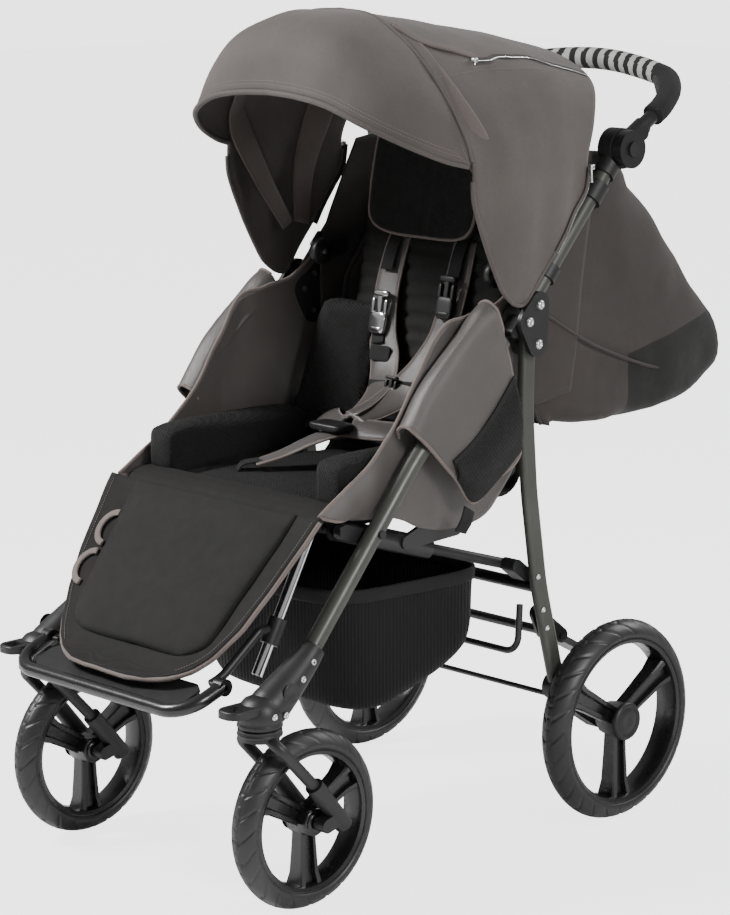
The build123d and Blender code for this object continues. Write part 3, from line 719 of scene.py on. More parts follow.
# %% [markdown]
# ## Side panels
# The inner panel hangs beside the seat. Its outer flap folds over the front leg and carries a net pocket.
# %%
PANEL = [[(52, 832), (-8, 797), (-62, 787), (-112, 776), (-155, 718), (-205, 648), (-262, 594), (-352, 538)],
         [(64, 760), (6, 730), (-44, 710), (-95, 690), (-140, 655), (-190, 606), (-250, 570), (-334, 532)],
         [(72, 670), (22, 630), (-26, 600), (-76, 585), (-122, 575), (-170, 556), (-232, 540), (-318, 528)],
         [(68, 600), (34, 548), (-10, 500), (-58, 482), (-104, 482), (-152, 494), (-214, 518), (-300, 527)]]
FLAP = [[(-203, 641), (-168, 688), (-130, 726), (-92, 758), (-62, 784), (-40, 798)],
        [(-129, 571), (-88, 527), (-40, 553), (10, 587), (-3, 683), (-28, 760)]]
SATIN_X = 213.0
inner_rows = [[mm(SATIN_X + 5 * math.sin(math.pi * r / 3), y, z) for y, z in row] for r, row in enumerate(PANEL)]
inner = spread(inner_rows, 40, 70)
inner = wrinkled(inner, 0.0030, 14.0, 2.2, (0.5, 1.6, 0.6))
inner[..., 0] = np.clip(inner[..., 0], 0.2115, 0.2195)
ridge, low_edge = np.array(FLAP[0], float), np.array(FLAP[1], float)
over = [[mm(214, y + 6, z - 12) for y, z in ridge], [mm(218, y, z + 2) for y, z in ridge],
        [mm(236, y - 4, z + 9) for y, z in ridge], [mm(250, y + 1, z) for y, z in ridge],
        [mm(255, *p) for p in ridge * 0.6 + low_edge * 0.4], [mm(256, *p) for p in ridge * 0.25 + low_edge * 0.75],
        [mm(253, y, z) for y, z in low_edge]]
flap = wrinkled(spread(over, 44, 60), 0.0022, 16.0, 5.5, (0.6, 1.0, 1.0))
ELASTIC = [(-132, 590), (-96, 612), (-52, 648), (-8, 698)]
POCKET = [(-124, 566), (-89, 528), (-36, 556), (10, 590)]
net_rows = [[mm(259, y, z) for y, z in ELASTIC],
            [mm(265, *p) for p in (np.array(ELASTIC, float) + np.array(POCKET)) / 2],
            [mm(257, y, z) for y, z in POCKET]]
pocket = spread(net_rows, 24, 30)
for side, sign in (("left", 1), ("right", -1)):
    flip = np.array([sign, 1, 1])
    panel = piece("side_panel_cloth_" + side, merged([cloth(inner * flip, 0.0026), cloth(flap * flip, 0.0026)]),
                  satin_cloth, "main_frame", ["side_panel_" + side])
    net_pocket = piece("side_pocket_" + side, cloth(pocket * flip, 0.0016), mesh_cloth, "main_frame")
    edges = [through(inner[0] * flip, 120), through(np.vstack([inner[:, -1]]) * flip, 30),
             through(flap[-1] * flip, 120), through(flap[:, 0] * flip, 60), through(flap[8:, -1] * flip, 40)]
    trim = piece("side_piping_" + side, merged([cord_of(e, 0.0026) for e in edges]), piping_cloth, "main_frame")
    band = piece("pocket_elastic_" + side, ribbon(through(net_rows[0], 40) * flip, 0.009, 0.003, (sign, 0, 0)),
                 webbing, "main_frame")
    tab = piece("side_tab_" + side, ribbon(through([mm(259, -101, 520), mm(262, -110, 505), mm(256, -116, 488)], 16)
                                           * flip, 0.024, 0.003, (sign, 0, 0)), webbing, "main_frame")
    hem = lambda line: line + np.array([sign, 0, 0]) * 0.0017
    sew = repeated("side_stitches_" + side, [hem(through(flap[-5] * flip, 90)), hem(through(flap[5:-4, 2] * flip, 40))],
                   thread, "main_frame")
    for obj in (panel, net_pocket, trim, band, tab, sew):
        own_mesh(obj)
print("side panels", inner.shape, flap.shape, area_of(inner), area_of(flap), area_of(pocket))

# %% [markdown]
# ## Padding
# Cushions start as crowned blocks. A short cloth simulation under pressure gives them creases, and its moves are capped.
# %%
def softened(part, cap=0.007, voxel=0.006, pressure=4.0):
    """The part after 20 frames of cloth under pressure; no point moves further than cap."""
    mesh = bpy.data.meshes.new("soft")
    mesh.from_pydata(np.asarray(part[0]).tolist(), [], part[1])
    obj = bpy.data.objects.new("soft", mesh)
    scene = bpy.context.scene
    scene.collection.objects.link(obj)
    remesh = obj.modifiers.new("Remesh", "REMESH")
    remesh.mode, remesh.voxel_size = "VOXEL", voxel
    bpy.context.view_layer.update()
    solid = bpy.data.meshes.new_from_object(obj.evaluated_get(bpy.context.evaluated_depsgraph_get()))
    obj.modifiers.clear()
    obj.data = solid
    start = np.array([v.co[:] for v in solid.vertices])
    press = obj.modifiers.new("Cloth", "CLOTH").settings
    press.use_pressure, press.uniform_pressure_force = True, pressure
    press.effector_weights.gravity = 0
    press.quality = 4
    for number in range(1, 21):
        scene.frame_set(number)
    done = bpy.data.meshes.new_from_object(obj.evaluated_get(bpy.context.evaluated_depsgraph_get()))
    moved = np.array([v.co[:] for v in done.vertices]) - start
    size = np.linalg.norm(moved, axis=1, keepdims=True)
    points = start + moved * np.minimum(1, cap / np.maximum(size, 1e-9))
    faces = [tuple(f.vertices) for f in done.polygons]
    bpy.data.objects.remove(obj)
    scene.frame_set(1)
    return points, faces


def grooved(points, lines, normal, depth, width):
    """Sewn channels: points near a line's (axis, value) sink along the normal."""
    for axis, value in lines:
        near = np.exp(-((points[:, axis] - value) / width) ** 2)[:, None]
        points = points - np.array(normal) * near * depth
    return points


BACK = joint_at["back_fold"]
LEAN = math.radians(11.3)


def back(x, forward, up):
    """A point on the backrest, in millimetres in front of and above its hinge."""
    f, u = forward / 1000, up / 1000
    return np.array([x / 1000, BACK[1] - f * math.cos(LEAN) + u * math.sin(LEAN),
                     BACK[2] + u * math.cos(LEAN) + f * math.sin(LEAN)])


def back_block(half, place, power=5.0, cuts=14, warp=None, soft=0.0, lines=(), depth=0.004):
    """A pad on the backrest, made upright and then leant back; place is (x, forward, up)."""
    points, faces = block(np.array(half) / 1000, power, cuts)
    if warp:
        points = warp(points)
    if soft:
        points, faces = softened((points, faces), soft)
    points = grooved(points, lines, (0, -1, 0), depth, 0.0035)
    turn = np.array([[1, 0, 0], [0, math.cos(LEAN), math.sin(LEAN)], [0, -math.sin(LEAN), math.cos(LEAN)]])
    return points @ turn.T + back(*place), faces


panel_back = piece("backrest_panel", back_block((170, 5, 250), (0, -17, 255), 9), black_cloth, "backrest",
                   ["back_panel"])
quilt = [(2, v / 1000) for v in range(-180, 190, 24)]
quilted = piece("back_quilt", back_block((148, 13, 198), (0, 1, 235), 6, 60, lines=quilt, depth=0.005), black_cloth,
                "backrest", ["back_cushion"])


def wing(points):
    """A bolster that is deep at its outer edge and thin towards the middle of the back."""
    out = np.clip((points[:, 0] / 0.058 + 1) / 2, 0, 1)
    high = np.clip((points[:, 2] / 0.098 + 1) / 2, 0, 1)
    grown = points.copy()
    grown[:, 0] -= 0.016 * high * out
    grown[:, 1] = (points[:, 1] - 0.045) * (0.16 + (0.64 - 0.26 * high) * out)
    return grown


wings = back_block((58, 45, 98), (134, 12, 112), 9, 16, warp=wing, soft=0.004)
wings_pad = piece("back_wings", both(wings), mesh_cloth, "backrest", ["back_bolsters"])


def cradle(points):
    """The headrest dips in the middle and comes forward at its sides."""
    moved = points.copy()
    moved[:, 1] -= 0.016 * (points[:, 0] / 0.112) ** 2
    return moved


head = piece("headrest_pad", back_block((112, 13, 88), (0, 24, 405), 5, 30, warp=cradle, lines=[(0, 0.0)], depth=0.004),
             mesh_cloth, "backrest", ["headrest"])
rim_line = [back(x, 30 + 16 * (x / 112) ** 2, 405 + z) for x, z in
            ((0, -88), (70, -86), (104, -70), (111, -30), (112, 20), (106, 66), (70, 84), (0, 88), (-70, 84),
             (-106, 66), (-112, 20), (-111, -30), (-104, -70), (-70, -86))]
piece("headrest_piping", cord_of(through(rim_line, 160, closed=True), 0.0026, closed=True), piping_cloth, "backrest")
print("backrest padded")

# %% [markdown]
# The seat: a cushion, a bolster at each hip, a sling under them and a black flap over the front edge.
# %%
cushion = block((0.146, 0.160, 0.013), 6, 20)
cushion = softened((cushion[0] + mm(0, -145, 529), cushion[1]), 0.004)
seat = piece("seat_pad", cushion, mesh_cloth, "main_frame", ["seat_cushion"])
hips = block((0.028, 0.140, 0.036), 7, 16)
hips = softened((hips[0] + mm(178, -166, 572), hips[1]), 0.003)
hip_pads = piece("hip_pads", both(hips), mesh_cloth, "main_frame", ["hip_bolsters"])
sling_rows = [[mm(x, y, 506 - 5 * (1 - (x / 170) ** 2)) for x in (-170, -90, 0, 90, 170)] for y in (-268, -130, 4)]
sling = piece("seat_sling", cloth(spread(sling_rows, 16, 30), 0.006), black_cloth, "main_frame", ["seat_base"])
apron_rows = [[mm(x, y, z) for x in (-200, -90, 0, 90, 200)] for y, z in ((-8, 514), (38, 513), (66, 536), (76, 590))]
apron = piece("seat_apron", cloth(spread(apron_rows, 16, 30), 0.003), black_cloth, "main_frame")
area_of(spread(apron_rows, 16, 30))
flap_rows = [[mm(x, y, z) for x in (-205, -100, 0, 100, 205)]
             for y, z in ((-300, 545), (-318, 543), (-334, 536), (-343, 526))]
front_flap = piece("seat_front_flap", cloth(spread(flap_rows, 14, 40), 0.005), black_cloth, "main_frame")
for obj in (head, wings_pad, quilted):
    print(obj.name, len(obj.data.polygons))

# %% [markdown]
# ## Harness
# Two padded shoulder straps meet in a bib, with a waist strap, a crotch strap, buckles and piping.
# %%
def padded_strap(path, widths, thick, up, count=60):
    """A flat padded strap and the two piped edges beside it."""
    line = through(path, count)
    scale = np.interp(np.linspace(0, 1, count), np.linspace(0, 1, len(widths)), widths)
    body_part = swept(line, np.array([[math.cos(a) * 0.5, math.sin(a) * thick / 2 / max(widths)] for a in
                                      np.linspace(0, 2 * math.pi, 20, endpoint=False)]), up=up, scale=scale)
    along = unit(np.gradient(line, axis=0))
    side = unit(np.cross(along, np.broadcast_to(np.array(up, float), line.shape)))
    pipes = [cord_of(line + side * scale[:, None] / 2 * s, 0.0019) for s in (-1, 1)]
    return body_part, merged(pipes)


BACK_UP = np.array([0, -math.cos(LEAN), math.sin(LEAN)])
strap_points = [(68, 12, 318), (70, 18, 280), (69, 24, 225), (60, 28, 165), (42, 34, 122), (25, 54, 86),
                (14, 92, 56), (8, 130, 38)]
bib, bib_pipes, belts = [], [], []
for sign in (-1, 1):
    path = [back(x * sign, f, u) for x, f, u in strap_points]
    body_part, pipes = padded_strap(path, (0.042, 0.046, 0.047, 0.050, 0.058, 0.060, 0.050, 0.040), 0.011, BACK_UP)
    bib.append(body_part)
    bib_pipes.append(pipes)
    waist = [back(14 * sign, 142, 24), back(56 * sign, 118, 26), back(104 * sign, 76, 31), back(140 * sign, 36, 36)]
    body_part, pipes = padded_strap(waist, (0.036, 0.040, 0.038, 0.030), 0.010, (0, -0.6, 0.8), 40)
    bib.append(body_part)
    bib_pipes.append(pipes)
    belts.append(ribbon(through([back(68 * sign, 10, 352), back(68 * sign, 13, 330), back(69 * sign, 25, 300),
                                 back(70 * sign, 31, 262)], 30), 0.025, 0.0022, BACK_UP))
    belts.append(ribbon(through([back(66 * sign, 33, 175), back(61 * sign, 37, 150)], 8), 0.025, 0.0022, BACK_UP))
harness = piece("harness_pads", merged(bib), satin_cloth, "backrest", ["harness"])
piece("harness_piping", merged(bib_pipes), piping_cloth, "backrest")
belts.append(ribbon(through([back(-56, 47, 84), back(0, 56, 88), back(52, 47, 92)], 20), 0.022, 0.003, BACK_UP))
piece("harness_webbing", merged(belts), webbing, "backrest")


def buckle(centre, half, up):
    """A side-release buckle: a body, two sprung prongs and a bar."""
    across, along = np.array([1.0, 0, 0]), np.cross(np.array([1.0, 0, 0]), up)
    frame_of = np.stack([across, along, up])
    w, h, t = half
    spec = [((w, h * 0.52, t), (0, h * 0.45, 0)), ((w * 0.30, h * 0.5, t * 0.8), (0, -h * 0.4, 0)),
            ((w * 0.20, h * 0.36, t * 0.8), (-w * 0.8, -h * 0.28, 0)), ((w * 0.20, h * 0.36, t * 0.8), (w * 0.8, -h * 0.28, 0)),
            ((w, h * 0.14, t), (0, -h * 0.86, 0)), ((w * 0.8, h * 0.1, t * 1.25), (0, h * 0.72, 0))]
    return merged([(block(half_size, 4.5, 5)[0] @ frame_of + np.array(place) @ frame_of + centre,
                    block(half_size, 4.5, 5)[1]) for half_size, place in spec])


piece("buckle_silver", buckle(back(-66, 37, 196), (0.0165, 0.034, 0.005), BACK_UP), chrome, "backrest")
piece("buckle_black", buckle(back(68, 37, 232), (0.016, 0.033, 0.005), BACK_UP), plastic, "backrest")
piece("buckle_slide", buckle(back(4, 61, 88), (0.012, 0.018, 0.004), BACK_UP), plastic, "backrest")
patch = block((0.021, 0.0015, 0.012), 8, 6)
turn = np.array([[1, 0, 0], [0, math.cos(LEAN), math.sin(LEAN)], [0, -math.sin(LEAN), math.cos(LEAN)]])
piece("bib_patch", (patch[0] @ turn.T + back(-51, 38.5, 136), patch[1]), webbing, "backrest")
CROTCH = [mm(2, -92, 594), mm(-8, -118, 594), mm(-24, -148, 584), mm(-44, -182, 568), mm(-66, -216, 556)]
body_part, pipes = padded_strap(CROTCH, (0.052, 0.050, 0.040, 0.034), 0.012, (0, 0, 1), 50)
crotch = piece("crotch_pad", body_part, satin_cloth, "main_frame", ["crotch_strap"])
piece("crotch_piping", pipes, piping_cloth, "main_frame")
piece("crotch_webbing", ribbon(through([mm(-58, -204, 561), mm(-76, -228, 557), mm(-82, -236, 547)], 16), 0.027,
                               0.004, (0, 0, 1)), webbing, "main_frame")
piece("crotch_buckle", (block((0.034, 0.020, 0.006), 4.5, 8)[0] + mm(-8, -116, 606), block((0.034, 0.020, 0.006), 4.5, 8)[1]),
      plastic, "main_frame")
print("harness done")

# %% [markdown]
# ## Leg rest
# A wide black panel with taupe piping, a raised middle pad and two stitched loops beside it.
# %%
KNEE = joint_at["legrest_lift"]
DROP = math.radians(49)
PAD_LINE = through([mm(0, -343, 528), mm(0, -392, 471), mm(0, -441, 415), mm(0, -490, 359), mm(0, -524, 331),
                    mm(0, -556, 316)], 101)
PAD_LONG = float(np.linalg.norm(np.diff(PAD_LINE, axis=0), axis=1).sum())


def on_pad(x, down, raised=0.0):
    """A point on the leg rest: x across, down along it from its top, raised off its face, in millimetres."""
    at = np.clip(down / 1000 / PAD_LONG, 0, 1) * 100
    k = min(int(at), 99)
    spot = PAD_LINE[k] * (1 - (at - k)) + PAD_LINE[k + 1] * (at - k)
    way = unit(PAD_LINE[min(k + 1, 100)] - PAD_LINE[max(k - 1, 0)])
    normal = np.array([0, way[2], -way[1]])
    curl = 9 * np.clip((abs(x) - 150) / 70, 0, 1) ** 2
    return spot + mm(x, 0, 0) + normal * (raised + curl) / 1000


EDGE = [(0, 222), (40, 216), (80, 209), (125, 201), (185, 184), (235, 160), (262, 140), (285, 112), (300, 76), (306, 30)]
down_to, half_wide = [d for d, _ in EDGE], [w for _, w in EDGE]
pad_length = 304
rows = []
for d in np.linspace(0, pad_length, 60):
    w = float(np.interp(d, down_to, half_wide))
    rows.append([on_pad(x, d, 5) for x in np.linspace(-w, w, 60)])
outer_pad = wrinkled(np.array(rows), 0.0016, 20.0, 6.1)
panel = piece("legrest_panel", cloth(outer_pad, 0.010), black_cloth, None, ["calf_pad"])
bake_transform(panel)
rim_points = np.vstack([outer_pad[:, 0], outer_pad[-1, 1:-1], outer_pad[::-1, -1]])
rim_pipe = piece("legrest_piping", cord_of(through(rim_points[::2], 220), 0.0036), piping_cloth, None)
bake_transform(rim_pipe)
middle_rows = []
for d in np.linspace(1, 246, 50):
    t = (d - 1) / 245
    w = 172 - 30 * t
    w *= (1 - np.clip((t - 0.82) / 0.18, 0, 1) ** 3 * 0.3)
    lift = lambda s: (1 - abs(s) ** 6) ** 0.5 * (1 - t ** 12) ** 0.5 * min(1, 0.45 + 6 * t)
    middle_rows.append([on_pad(s * w, d, 10.5 + 10 * lift(s)) for s in np.linspace(-1, 1, 56)])
pad_top = wrinkled(np.array(middle_rows), 0.0014, 15.0, 2.9)
calf = piece("legrest_pad", cloth(pad_top, 0.003), black_cloth, "legrest")
loops, seams = [], []
for sign in (-1,):
    for d in (84, 150):
        ring_line = [on_pad(sign * (164 + 22 * math.cos(a)), d + 26 * math.sin(a), 13)
                     for a in np.linspace(-math.pi / 2, math.pi / 2, 12)]
        loops.append(ribbon(through(ring_line, 30), 0.010, 0.004, (0, -0.75, 0.65)))
piece("legrest_loops", merged(loops), piping_cloth, "legrest")
repeated("legrest_stitches", [through([on_pad(s * (np.interp(d, down_to, half_wide) - 9), d, 11.2)
                                       for d in range(10, 290, 20)], 90) for s in (-1, 1)], thread, "legrest")
print("leg rest", outer_pad.shape)

# %% [markdown]
# ## Basket
# A net tub that narrows and sags below its bound rim.
# %%
def tub_ring(front, rear, half, height, count=96, power=5.0):
    """A rounded rectangle; height is a function of y."""
    points = []
    for a in np.linspace(0, 2 * math.pi, count, endpoint=False):
        c, s = math.cos(a), math.sin(a)
        r = (abs(c) ** power + abs(s) ** power) ** (-1 / power)
        y = (front + rear) / 2 + (rear - front) / 2 * s * r
        points.append(mm(half * c * r, y, height(y)))
    return np.array(points)


rings = [tub_ring(-289, 36, 180, lambda y: 402 - 8 * (y + 289) / 325),
         tub_ring(-284, 35, 178, lambda y: 380 - 6 * (y + 289) / 325),
         tub_ring(-272, 34, 175, lambda y: 322 + 14 * (y + 289) / 325),
         tub_ring(-252, 32, 168, lambda y: 262 + 42 * (y + 289) / 325),
         tub_ring(-236, 22, 158, lambda y: 232 + 52 * max(0, (y + 200) / 236)),
         tub_ring(-216, -10, 136, lambda y: 222 + 44 * max(0, (y + 160) / 200)),
         tub_ring(-160, -60, 70, lambda y: 218 + 30 * max(0, (y + 140) / 200)),
         tub_ring(-120, -100, 12, lambda y: 218)]
tub = np.stack([through(np.array(rings)[:, k], 44) for k in range(96)], 1)
sag = wrinkled(tub, 0.004, 9.0, 9.3)
sag[:3] = tub[:3]
points = np.vstack([sag.reshape(-1, 3), (sag - normals_of(sag) * 0.0014).reshape(-1, 3)])
faces = quads(44, 96, wrap=True)
layer = 44 * 96
faces += [tuple(i + layer for i in f)[::-1] for f in faces]
for first in (0, 43 * 96):
    faces += [(first + k, first + (k + 1) % 96, first + (k + 1) % 96 + layer, first + k + layer) for k in range(96)]
net_tub = piece("basket_net", (points, faces), basket_cloth, "main_frame", ["basket"])
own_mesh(net_tub)
binding = piece("basket_binding", swept(np.vstack([tub[0], tub[:1, 0]]), rounded(0.003, 0.010, 0.6, 14), closed=True),
                webbing, "main_frame")
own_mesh(binding)
print("basket", tub.shape, area_of(tub))

# %% [markdown]
# ## Handle grip
# A foam sleeve along the bow, with light bands moulded into its middle.
# %%
TILT = math.radians(28)
BOW = [(231.5, 92), (229, 118), (214, 158), (186, 190), (150, 206), (100, 221), (50, 232), (0, 236)]
bow_half = [joint_at["handle_angle"] + mm(x, r * math.cos(TILT), r * math.sin(TILT)) for x, r in BOW]
bow_line = through(bow_half + [mirrored(p) for p in bow_half[-2::-1]], 260)
grip = piece("foam_grip", cord_of(bow_line, 0.0168, count=28), foam, "handle_grip_bar", ["handle_grip"])
grip.data.materials.append(stripe.data)
for face in grip.data.polygons:
    x = face.center[0]
    if abs(x) < 0.165 and (x / 0.024) % 1 < 0.52:
        face.material_index = 1
print("grip", len(grip.data.polygons))

# %% [markdown]
# ## Wheels
# The tread is cut into the tyre's mesh: curved shoulder grooves and fine centre lines round each axle.
# %%
def wheel_finish():
    """Tyre rubber with fine grain and a little dust."""
    rubber = Finish("tread_rubber", (0.014, 0.0145, 0.014), 0.5, specular=0.45)
    rubber.relief(rubber.grain(900, 2), 0.0002, 0.3)
    return rubber.tint(rubber.grain(17, 4), 0.2, 0.7, 0.6, 1.35).rough(rubber.grain(30, 3), 0.34, 0.55)


def tyre_form(axle, radius, half, count, around=520):
    """A tyre with curved grooves over its shoulders and short ones beside its centre line."""
    seat = radius - 27
    side = [(seat, half - 6), (seat + 2.6, half - 1.6), (seat + 7, half), (radius - 15, half - 1.6),
            (radius - 9, half - 6), (radius - 3.4, half * 0.45)]
    outline = through([(r, -w) for r, w in side] + [(radius, 0)] + side[::-1], 58)
    angle = np.linspace(0, 2 * math.pi, around, endpoint=False)
    rise, wide = outline[:, :1], outline[:, 1:]
    across = np.abs(wide) / half
    swing = np.sin(angle * count + across ** 2 * 5.0)
    short = np.sin(angle * count * 2 + across * 3)
    on_tread = np.clip((rise - seat - 5) / 3, 0, 1)
    deep = (np.clip((swing - 0.80) * 8, 0, 1) * (across > 0.2) * on_tread * 1.7
            + np.clip((short - 0.75) * 6, 0, 1) * (across < 0.16) * 1.0
            + np.clip(1 - np.abs(across - 0.24) * 22, 0, 1) * on_tread * 0.9)
    r = (rise - deep) / 1000
    points = np.stack([np.broadcast_to(wide / 1000, r.shape), r * np.cos(angle), r * np.sin(angle)], 2)
    rows = len(outline)
    join = [((rows - 1) * around + k, (rows - 1) * around + (k + 1) % around, (k + 1) % around, k) for k in range(around)]
    return points.reshape(-1, 3) + axle, quads(rows, around, wrap=True) + join


def rim_form(axle, seat, half, hub, hub_half):
    """A deep barrel with lips, three wide recessed spokes and a hub."""
    lip = [(seat - 0.2, half - 3), (seat + 3, half - 1), (seat + 3, half + 1.5), (seat - 1, half + 3),
           (seat - 6, half + 1), (seat - 8.5, half - 5)]
    profile = [(r, -w) for r, w in lip] + lip[::-1] + [(seat - 0.2, 3 - half)]
    parts = [turned([(r / 1000, w / 1000) for r, w in profile], axle, 0, 120)]
    core = [(0, -hub_half), (hub - 4, -hub_half), (hub, 3 - hub_half), (hub + 3, -6), (hub + 3, 6), (hub, hub_half - 3),
            (hub - 4, hub_half), (0, hub_half)]
    parts.append(turned([(r / 1000, w / 1000) for r, w in core], axle, 0, 6))
    section = np.array([(-17, -11), (-15, -13), (-9, -13), (-7, -6), (7, -6), (9, -13), (15, -13), (17, -11)])
    section = np.vstack([section, section * np.array([-1, -1])]) / 1000
    for turn_angle in (-math.pi / 2, math.pi / 6, math.pi * 5 / 6):
        way = np.array([0, math.cos(turn_angle), math.sin(turn_angle)])
        reach = np.linspace(hub - 6, seat - 4, 9)
        size = np.interp(np.linspace(0, 1, 9), [0, 0.3, 0.75, 1], [0.80, 0.86, 1.0, 1.3])
        parts.append(swept([axle + way * r / 1000 for r in reach], section, up=(1, 0, 0), scale=size))
    return merged(parts)


tyre_rubber = wheel_finish()
front_axle, rear_axle = joint_at["front_wheel_spin_left"], joint_at["rear_wheel_spin_left"]
for side, sign in (("left", 1), ("right", -1)):
    for end, axle, radius, half, count, hub_size, hub_long in (("front", front_axle, 127, 22.5, 24, 20, 23),
                                                              ("rear", rear_axle, 152.5, 24, 28, 24, 24)):
        place = axle * np.array([sign, 1, 1])
        body = f"{end}_wheel_{side}"
        piece(f"{end}_tread_{side}", tyre_form(place, radius, half, count), tyre_rubber, body,
              [f"{end}_tyre_{side}"])
        wheel = piece(f"{end}_spokes_{side}", rim_form(place, radius - 27, half - 5, hub_size, hub_long), gloss, body,
                      [f"{end}_rim_{side}"])
        wheel.data.set_sharp_from_angle(angle=math.radians(30))
    hub = rear_axle * np.array([sign, 1, 1])
    profile = [(0.0, 24), (6, 26.5), (18, 26.5), (20, 25), (22, 25), (24, 27), (27, 26.5), (29.5, 23), (29.5, 20)]
    cap = turned([(r / 1000, h * sign / 1000) for r, h in profile], hub, 0, 48)
    piece("rear_hub_cap_" + side, cap, plastic, "rear_wheel_" + side)
    for number, offset_x in enumerate((25.4, -25.4)):
        front = front_axle * np.array([sign, 1, 1]) + mm(offset_x, 0, 0)
        rings_of = turned([(r / 1000, (h if offset_x > 0 else -h) / 1000) for r, h in
                           ((0, 0), (9, 0.4), (12, 0.4), (13, -1), (16, -1), (18, 0.3), (19.5, -1.5))], front, 0, 40)
        piece(f"front_hub_cap_{side}_{number}", rings_of, gloss, "front_wheel_" + side)
print("wheels finished")

# %% [markdown]
# ## Screws, rivets and castor collars
# %%
def screw(centre, axis_sign, radius=0.0042):
    """A button head with a socket, facing along X."""
    profile = [(radius * 1.0, 0), (radius * 0.96, 0.0009), (radius * 0.7, 0.0018), (radius * 0.42, 0.0021),
               (radius * 0.40, 0.0008), (0, 0.0008)]
    return turned([(r, h * axis_sign) for r, h in profile], np.array(centre), 0, 20)


SCREWS = [(257.3, 45, 797), (257.3, 23, 774), (257.3, 42, 740)]
HOUSING = [(268.5, -464, 292), (270, -486, 294), (256.5, -402, 352), (260.5, -425, 333)]
LEG_SCREWS = [(243.4, 62, 391), (243.4, 74, 339), (243.4, 83, 310)]
ARM = [joint_at["handle_angle"] + mm(265, r * math.cos(TILT), r * math.sin(TILT)) for r in (0,)]
for side, sign in (("left", 1), ("right", -1)):
    flip = np.array([sign, 1, 1])
    piece("plate_rivets_" + side, merged([screw(mm(x + 2, y, z) * flip, sign, 0.0062) for x, y, z in SCREWS]), steel,
          "main_frame")
    piece("housing_screws_" + side, merged([screw(mm(*p) * flip, sign, 0.0048) for p in HOUSING]), steel,
          "main_frame")
    piece("leg_screws_" + side, merged([screw(mm(*p) * flip, sign, 0.0042) for p in LEG_SCREWS]), steel,
          "rear_frame")
    axis = joint_at["castor_swivel_" + side]
    collar = turned([(r / 1000, h / 1000) for r, h in ((0, 262), (28, 262), (31, 264), (31.5, 267), (29, 269.5),
                                                       (30.5, 271), (30.5, 272.6), (26, 273.6), (0, 273.6))],
                    np.array([axis[0], axis[1], 0]), 2, 48)
    points, faces = collar
    piece("castor_collar_" + side, (points, faces), plastic, "castor_" + side)
    emblem = turned([(r / 1000, h * sign / 1000) for r, h in ((0, 0.2), (11, 0.6), (12, 1.4), (13.5, 1.4), (14.5, 0))],
                    mm(264.6, -450, 320) * flip, 0, 40)
    piece("housing_ring_" + side, emblem, plastic, "main_frame")
    loft = through([mm(238, -384, 366), mm(238, -404, 348), mm(238, -432, 326), mm(238.5, -462, 304),
                    mm(238.5, -482, 290)], 40)
    size = np.interp(np.linspace(0, 1, 40), [0, 0.08, 0.3, 0.6, 0.85, 1], [16.6, 18.2, 21.5, 26, 28.5, 27]) / 1000
    shaft = swept(loft, rounded(1, 1, 1, 32), scale=size)
    bell = turned([(r / 1000, h / 1000) for r, h in ((24, 274.4), (30, 274.4), (31.6, 277), (31.2, 281), (30.2, 283),
                                                     (31.4, 286), (31.4, 296), (28, 306), (21, 314), (12, 318),
                                                     (0, 319))], np.array([axis[0], axis[1], 0]), 2, 56)
    housing = merged([(shaft[0] * flip, shaft[1]), bell])
    piece("housing_cast_" + side, housing, plastic, "main_frame", ["castor_housing_" + side])
print("hardware done")

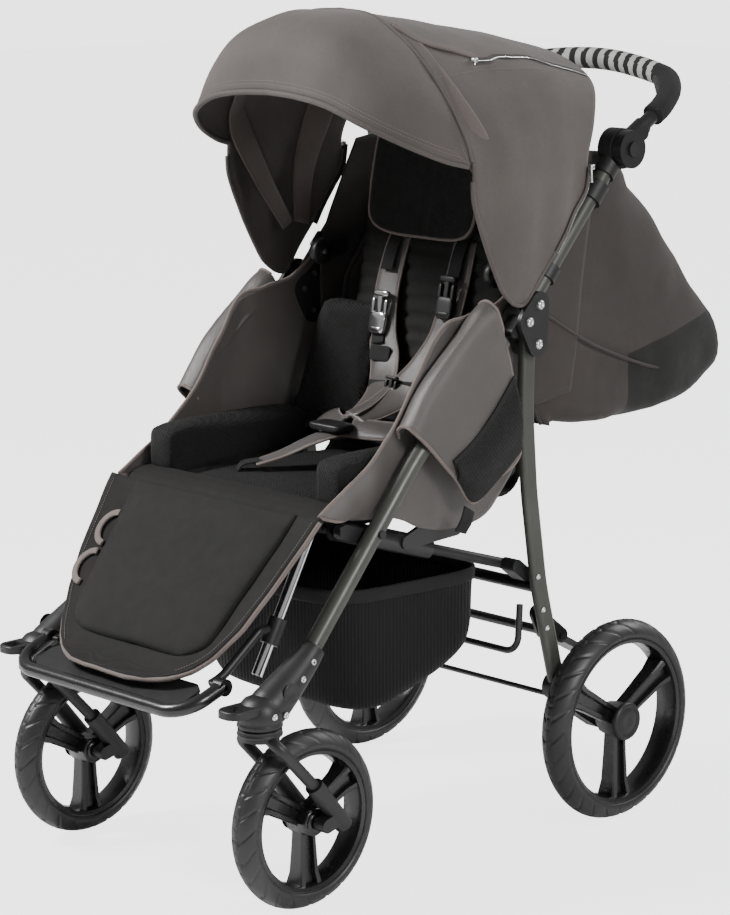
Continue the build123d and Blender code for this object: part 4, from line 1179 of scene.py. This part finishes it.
# %% [markdown]
# ## Floor, light and camera
# %%
def stage():
    bpy.ops.mesh.primitive_plane_add(size=30)
    floor = bpy.context.object
    floor.name = "floor"
    paint = bpy.data.materials.new("floor")
    paint.use_nodes = True
    shader = paint.node_tree.nodes["Principled BSDF"]
    shader.inputs["Base Color"].default_value = (0.9, 0.9, 0.9, 1)
    shader.inputs["Roughness"].default_value = 0.9
    nodes, links = paint.node_tree.nodes, paint.node_tree.links
    glow, mix, path = (nodes.new(f"ShaderNode{kind}") for kind in ("Emission", "MixShader", "LightPath"))
    glow.inputs["Strength"].default_value = 4.0
    half = nodes.new("ShaderNodeMath")
    half.operation = "MULTIPLY"
    half.inputs[1].default_value = 0.7
    links.new(path.outputs["Is Camera Ray"], half.inputs[0])
    links.new(half.outputs[0], mix.inputs[0])
    links.new(shader.outputs[0], mix.inputs[1])
    links.new(glow.outputs[0], mix.inputs[2])
    links.new(mix.outputs[0], nodes["Material Output"].inputs[0])
    floor.data.materials.append(paint)
    world = bpy.data.worlds.new("room")
    bpy.context.scene.world = world
    world.use_nodes = True
    nodes, links = world.node_tree.nodes, world.node_tree.links
    soft, plain = nodes["Background"], nodes.new("ShaderNodeBackground")
    mix, path = nodes.new("ShaderNodeMixShader"), nodes.new("ShaderNodeLightPath")
    for shader, strength in ((soft, 0.36), (plain, 3.0)):
        shader.inputs[0].default_value = (1, 1, 1, 1)
        shader.inputs[1].default_value = strength
    links.new(path.outputs["Is Camera Ray"], mix.inputs[0])
    links.new(soft.outputs[0], mix.inputs[1])
    links.new(plain.outputs[0], mix.inputs[2])
    links.new(mix.outputs[0], nodes["World Output"].inputs[0])


def lamp(name, place, aim, size, power):
    light = bpy.data.lights.new(name, "AREA")
    light.size, light.energy = size, power
    obj = bpy.data.objects.new(name, light)
    obj.location = place
    obj.rotation_euler = (Vector(aim) - Vector(place)).to_track_quat("-Z", "Y").to_euler()
    bpy.context.scene.collection.objects.link(obj)


def camera(place, aim, lens):
    data = bpy.data.cameras.new("camera")
    data.lens = lens
    obj = bpy.data.objects.new("camera", data)
    obj.location = place
    obj.rotation_euler = (Vector(aim) - Vector(place)).to_track_quat("-Z", "Y").to_euler()
    bpy.context.scene.collection.objects.link(obj)
    bpy.context.scene.camera = obj


stage()
lamp("key", (-1.8, -2.2, 3.0), (0, 0, 0.7), 0.9, 260)
lamp("side", (3.2, -0.4, 2.0), (0, 0, 0.7), 1.0, 95)
lamp("rim", (0.6, 2.8, 2.6), (0, 0, 0.8), 1.4, 70)
camera((3.1505, -3.1205, 1.4271), (0, -0.055, 0.55115), 118.8)
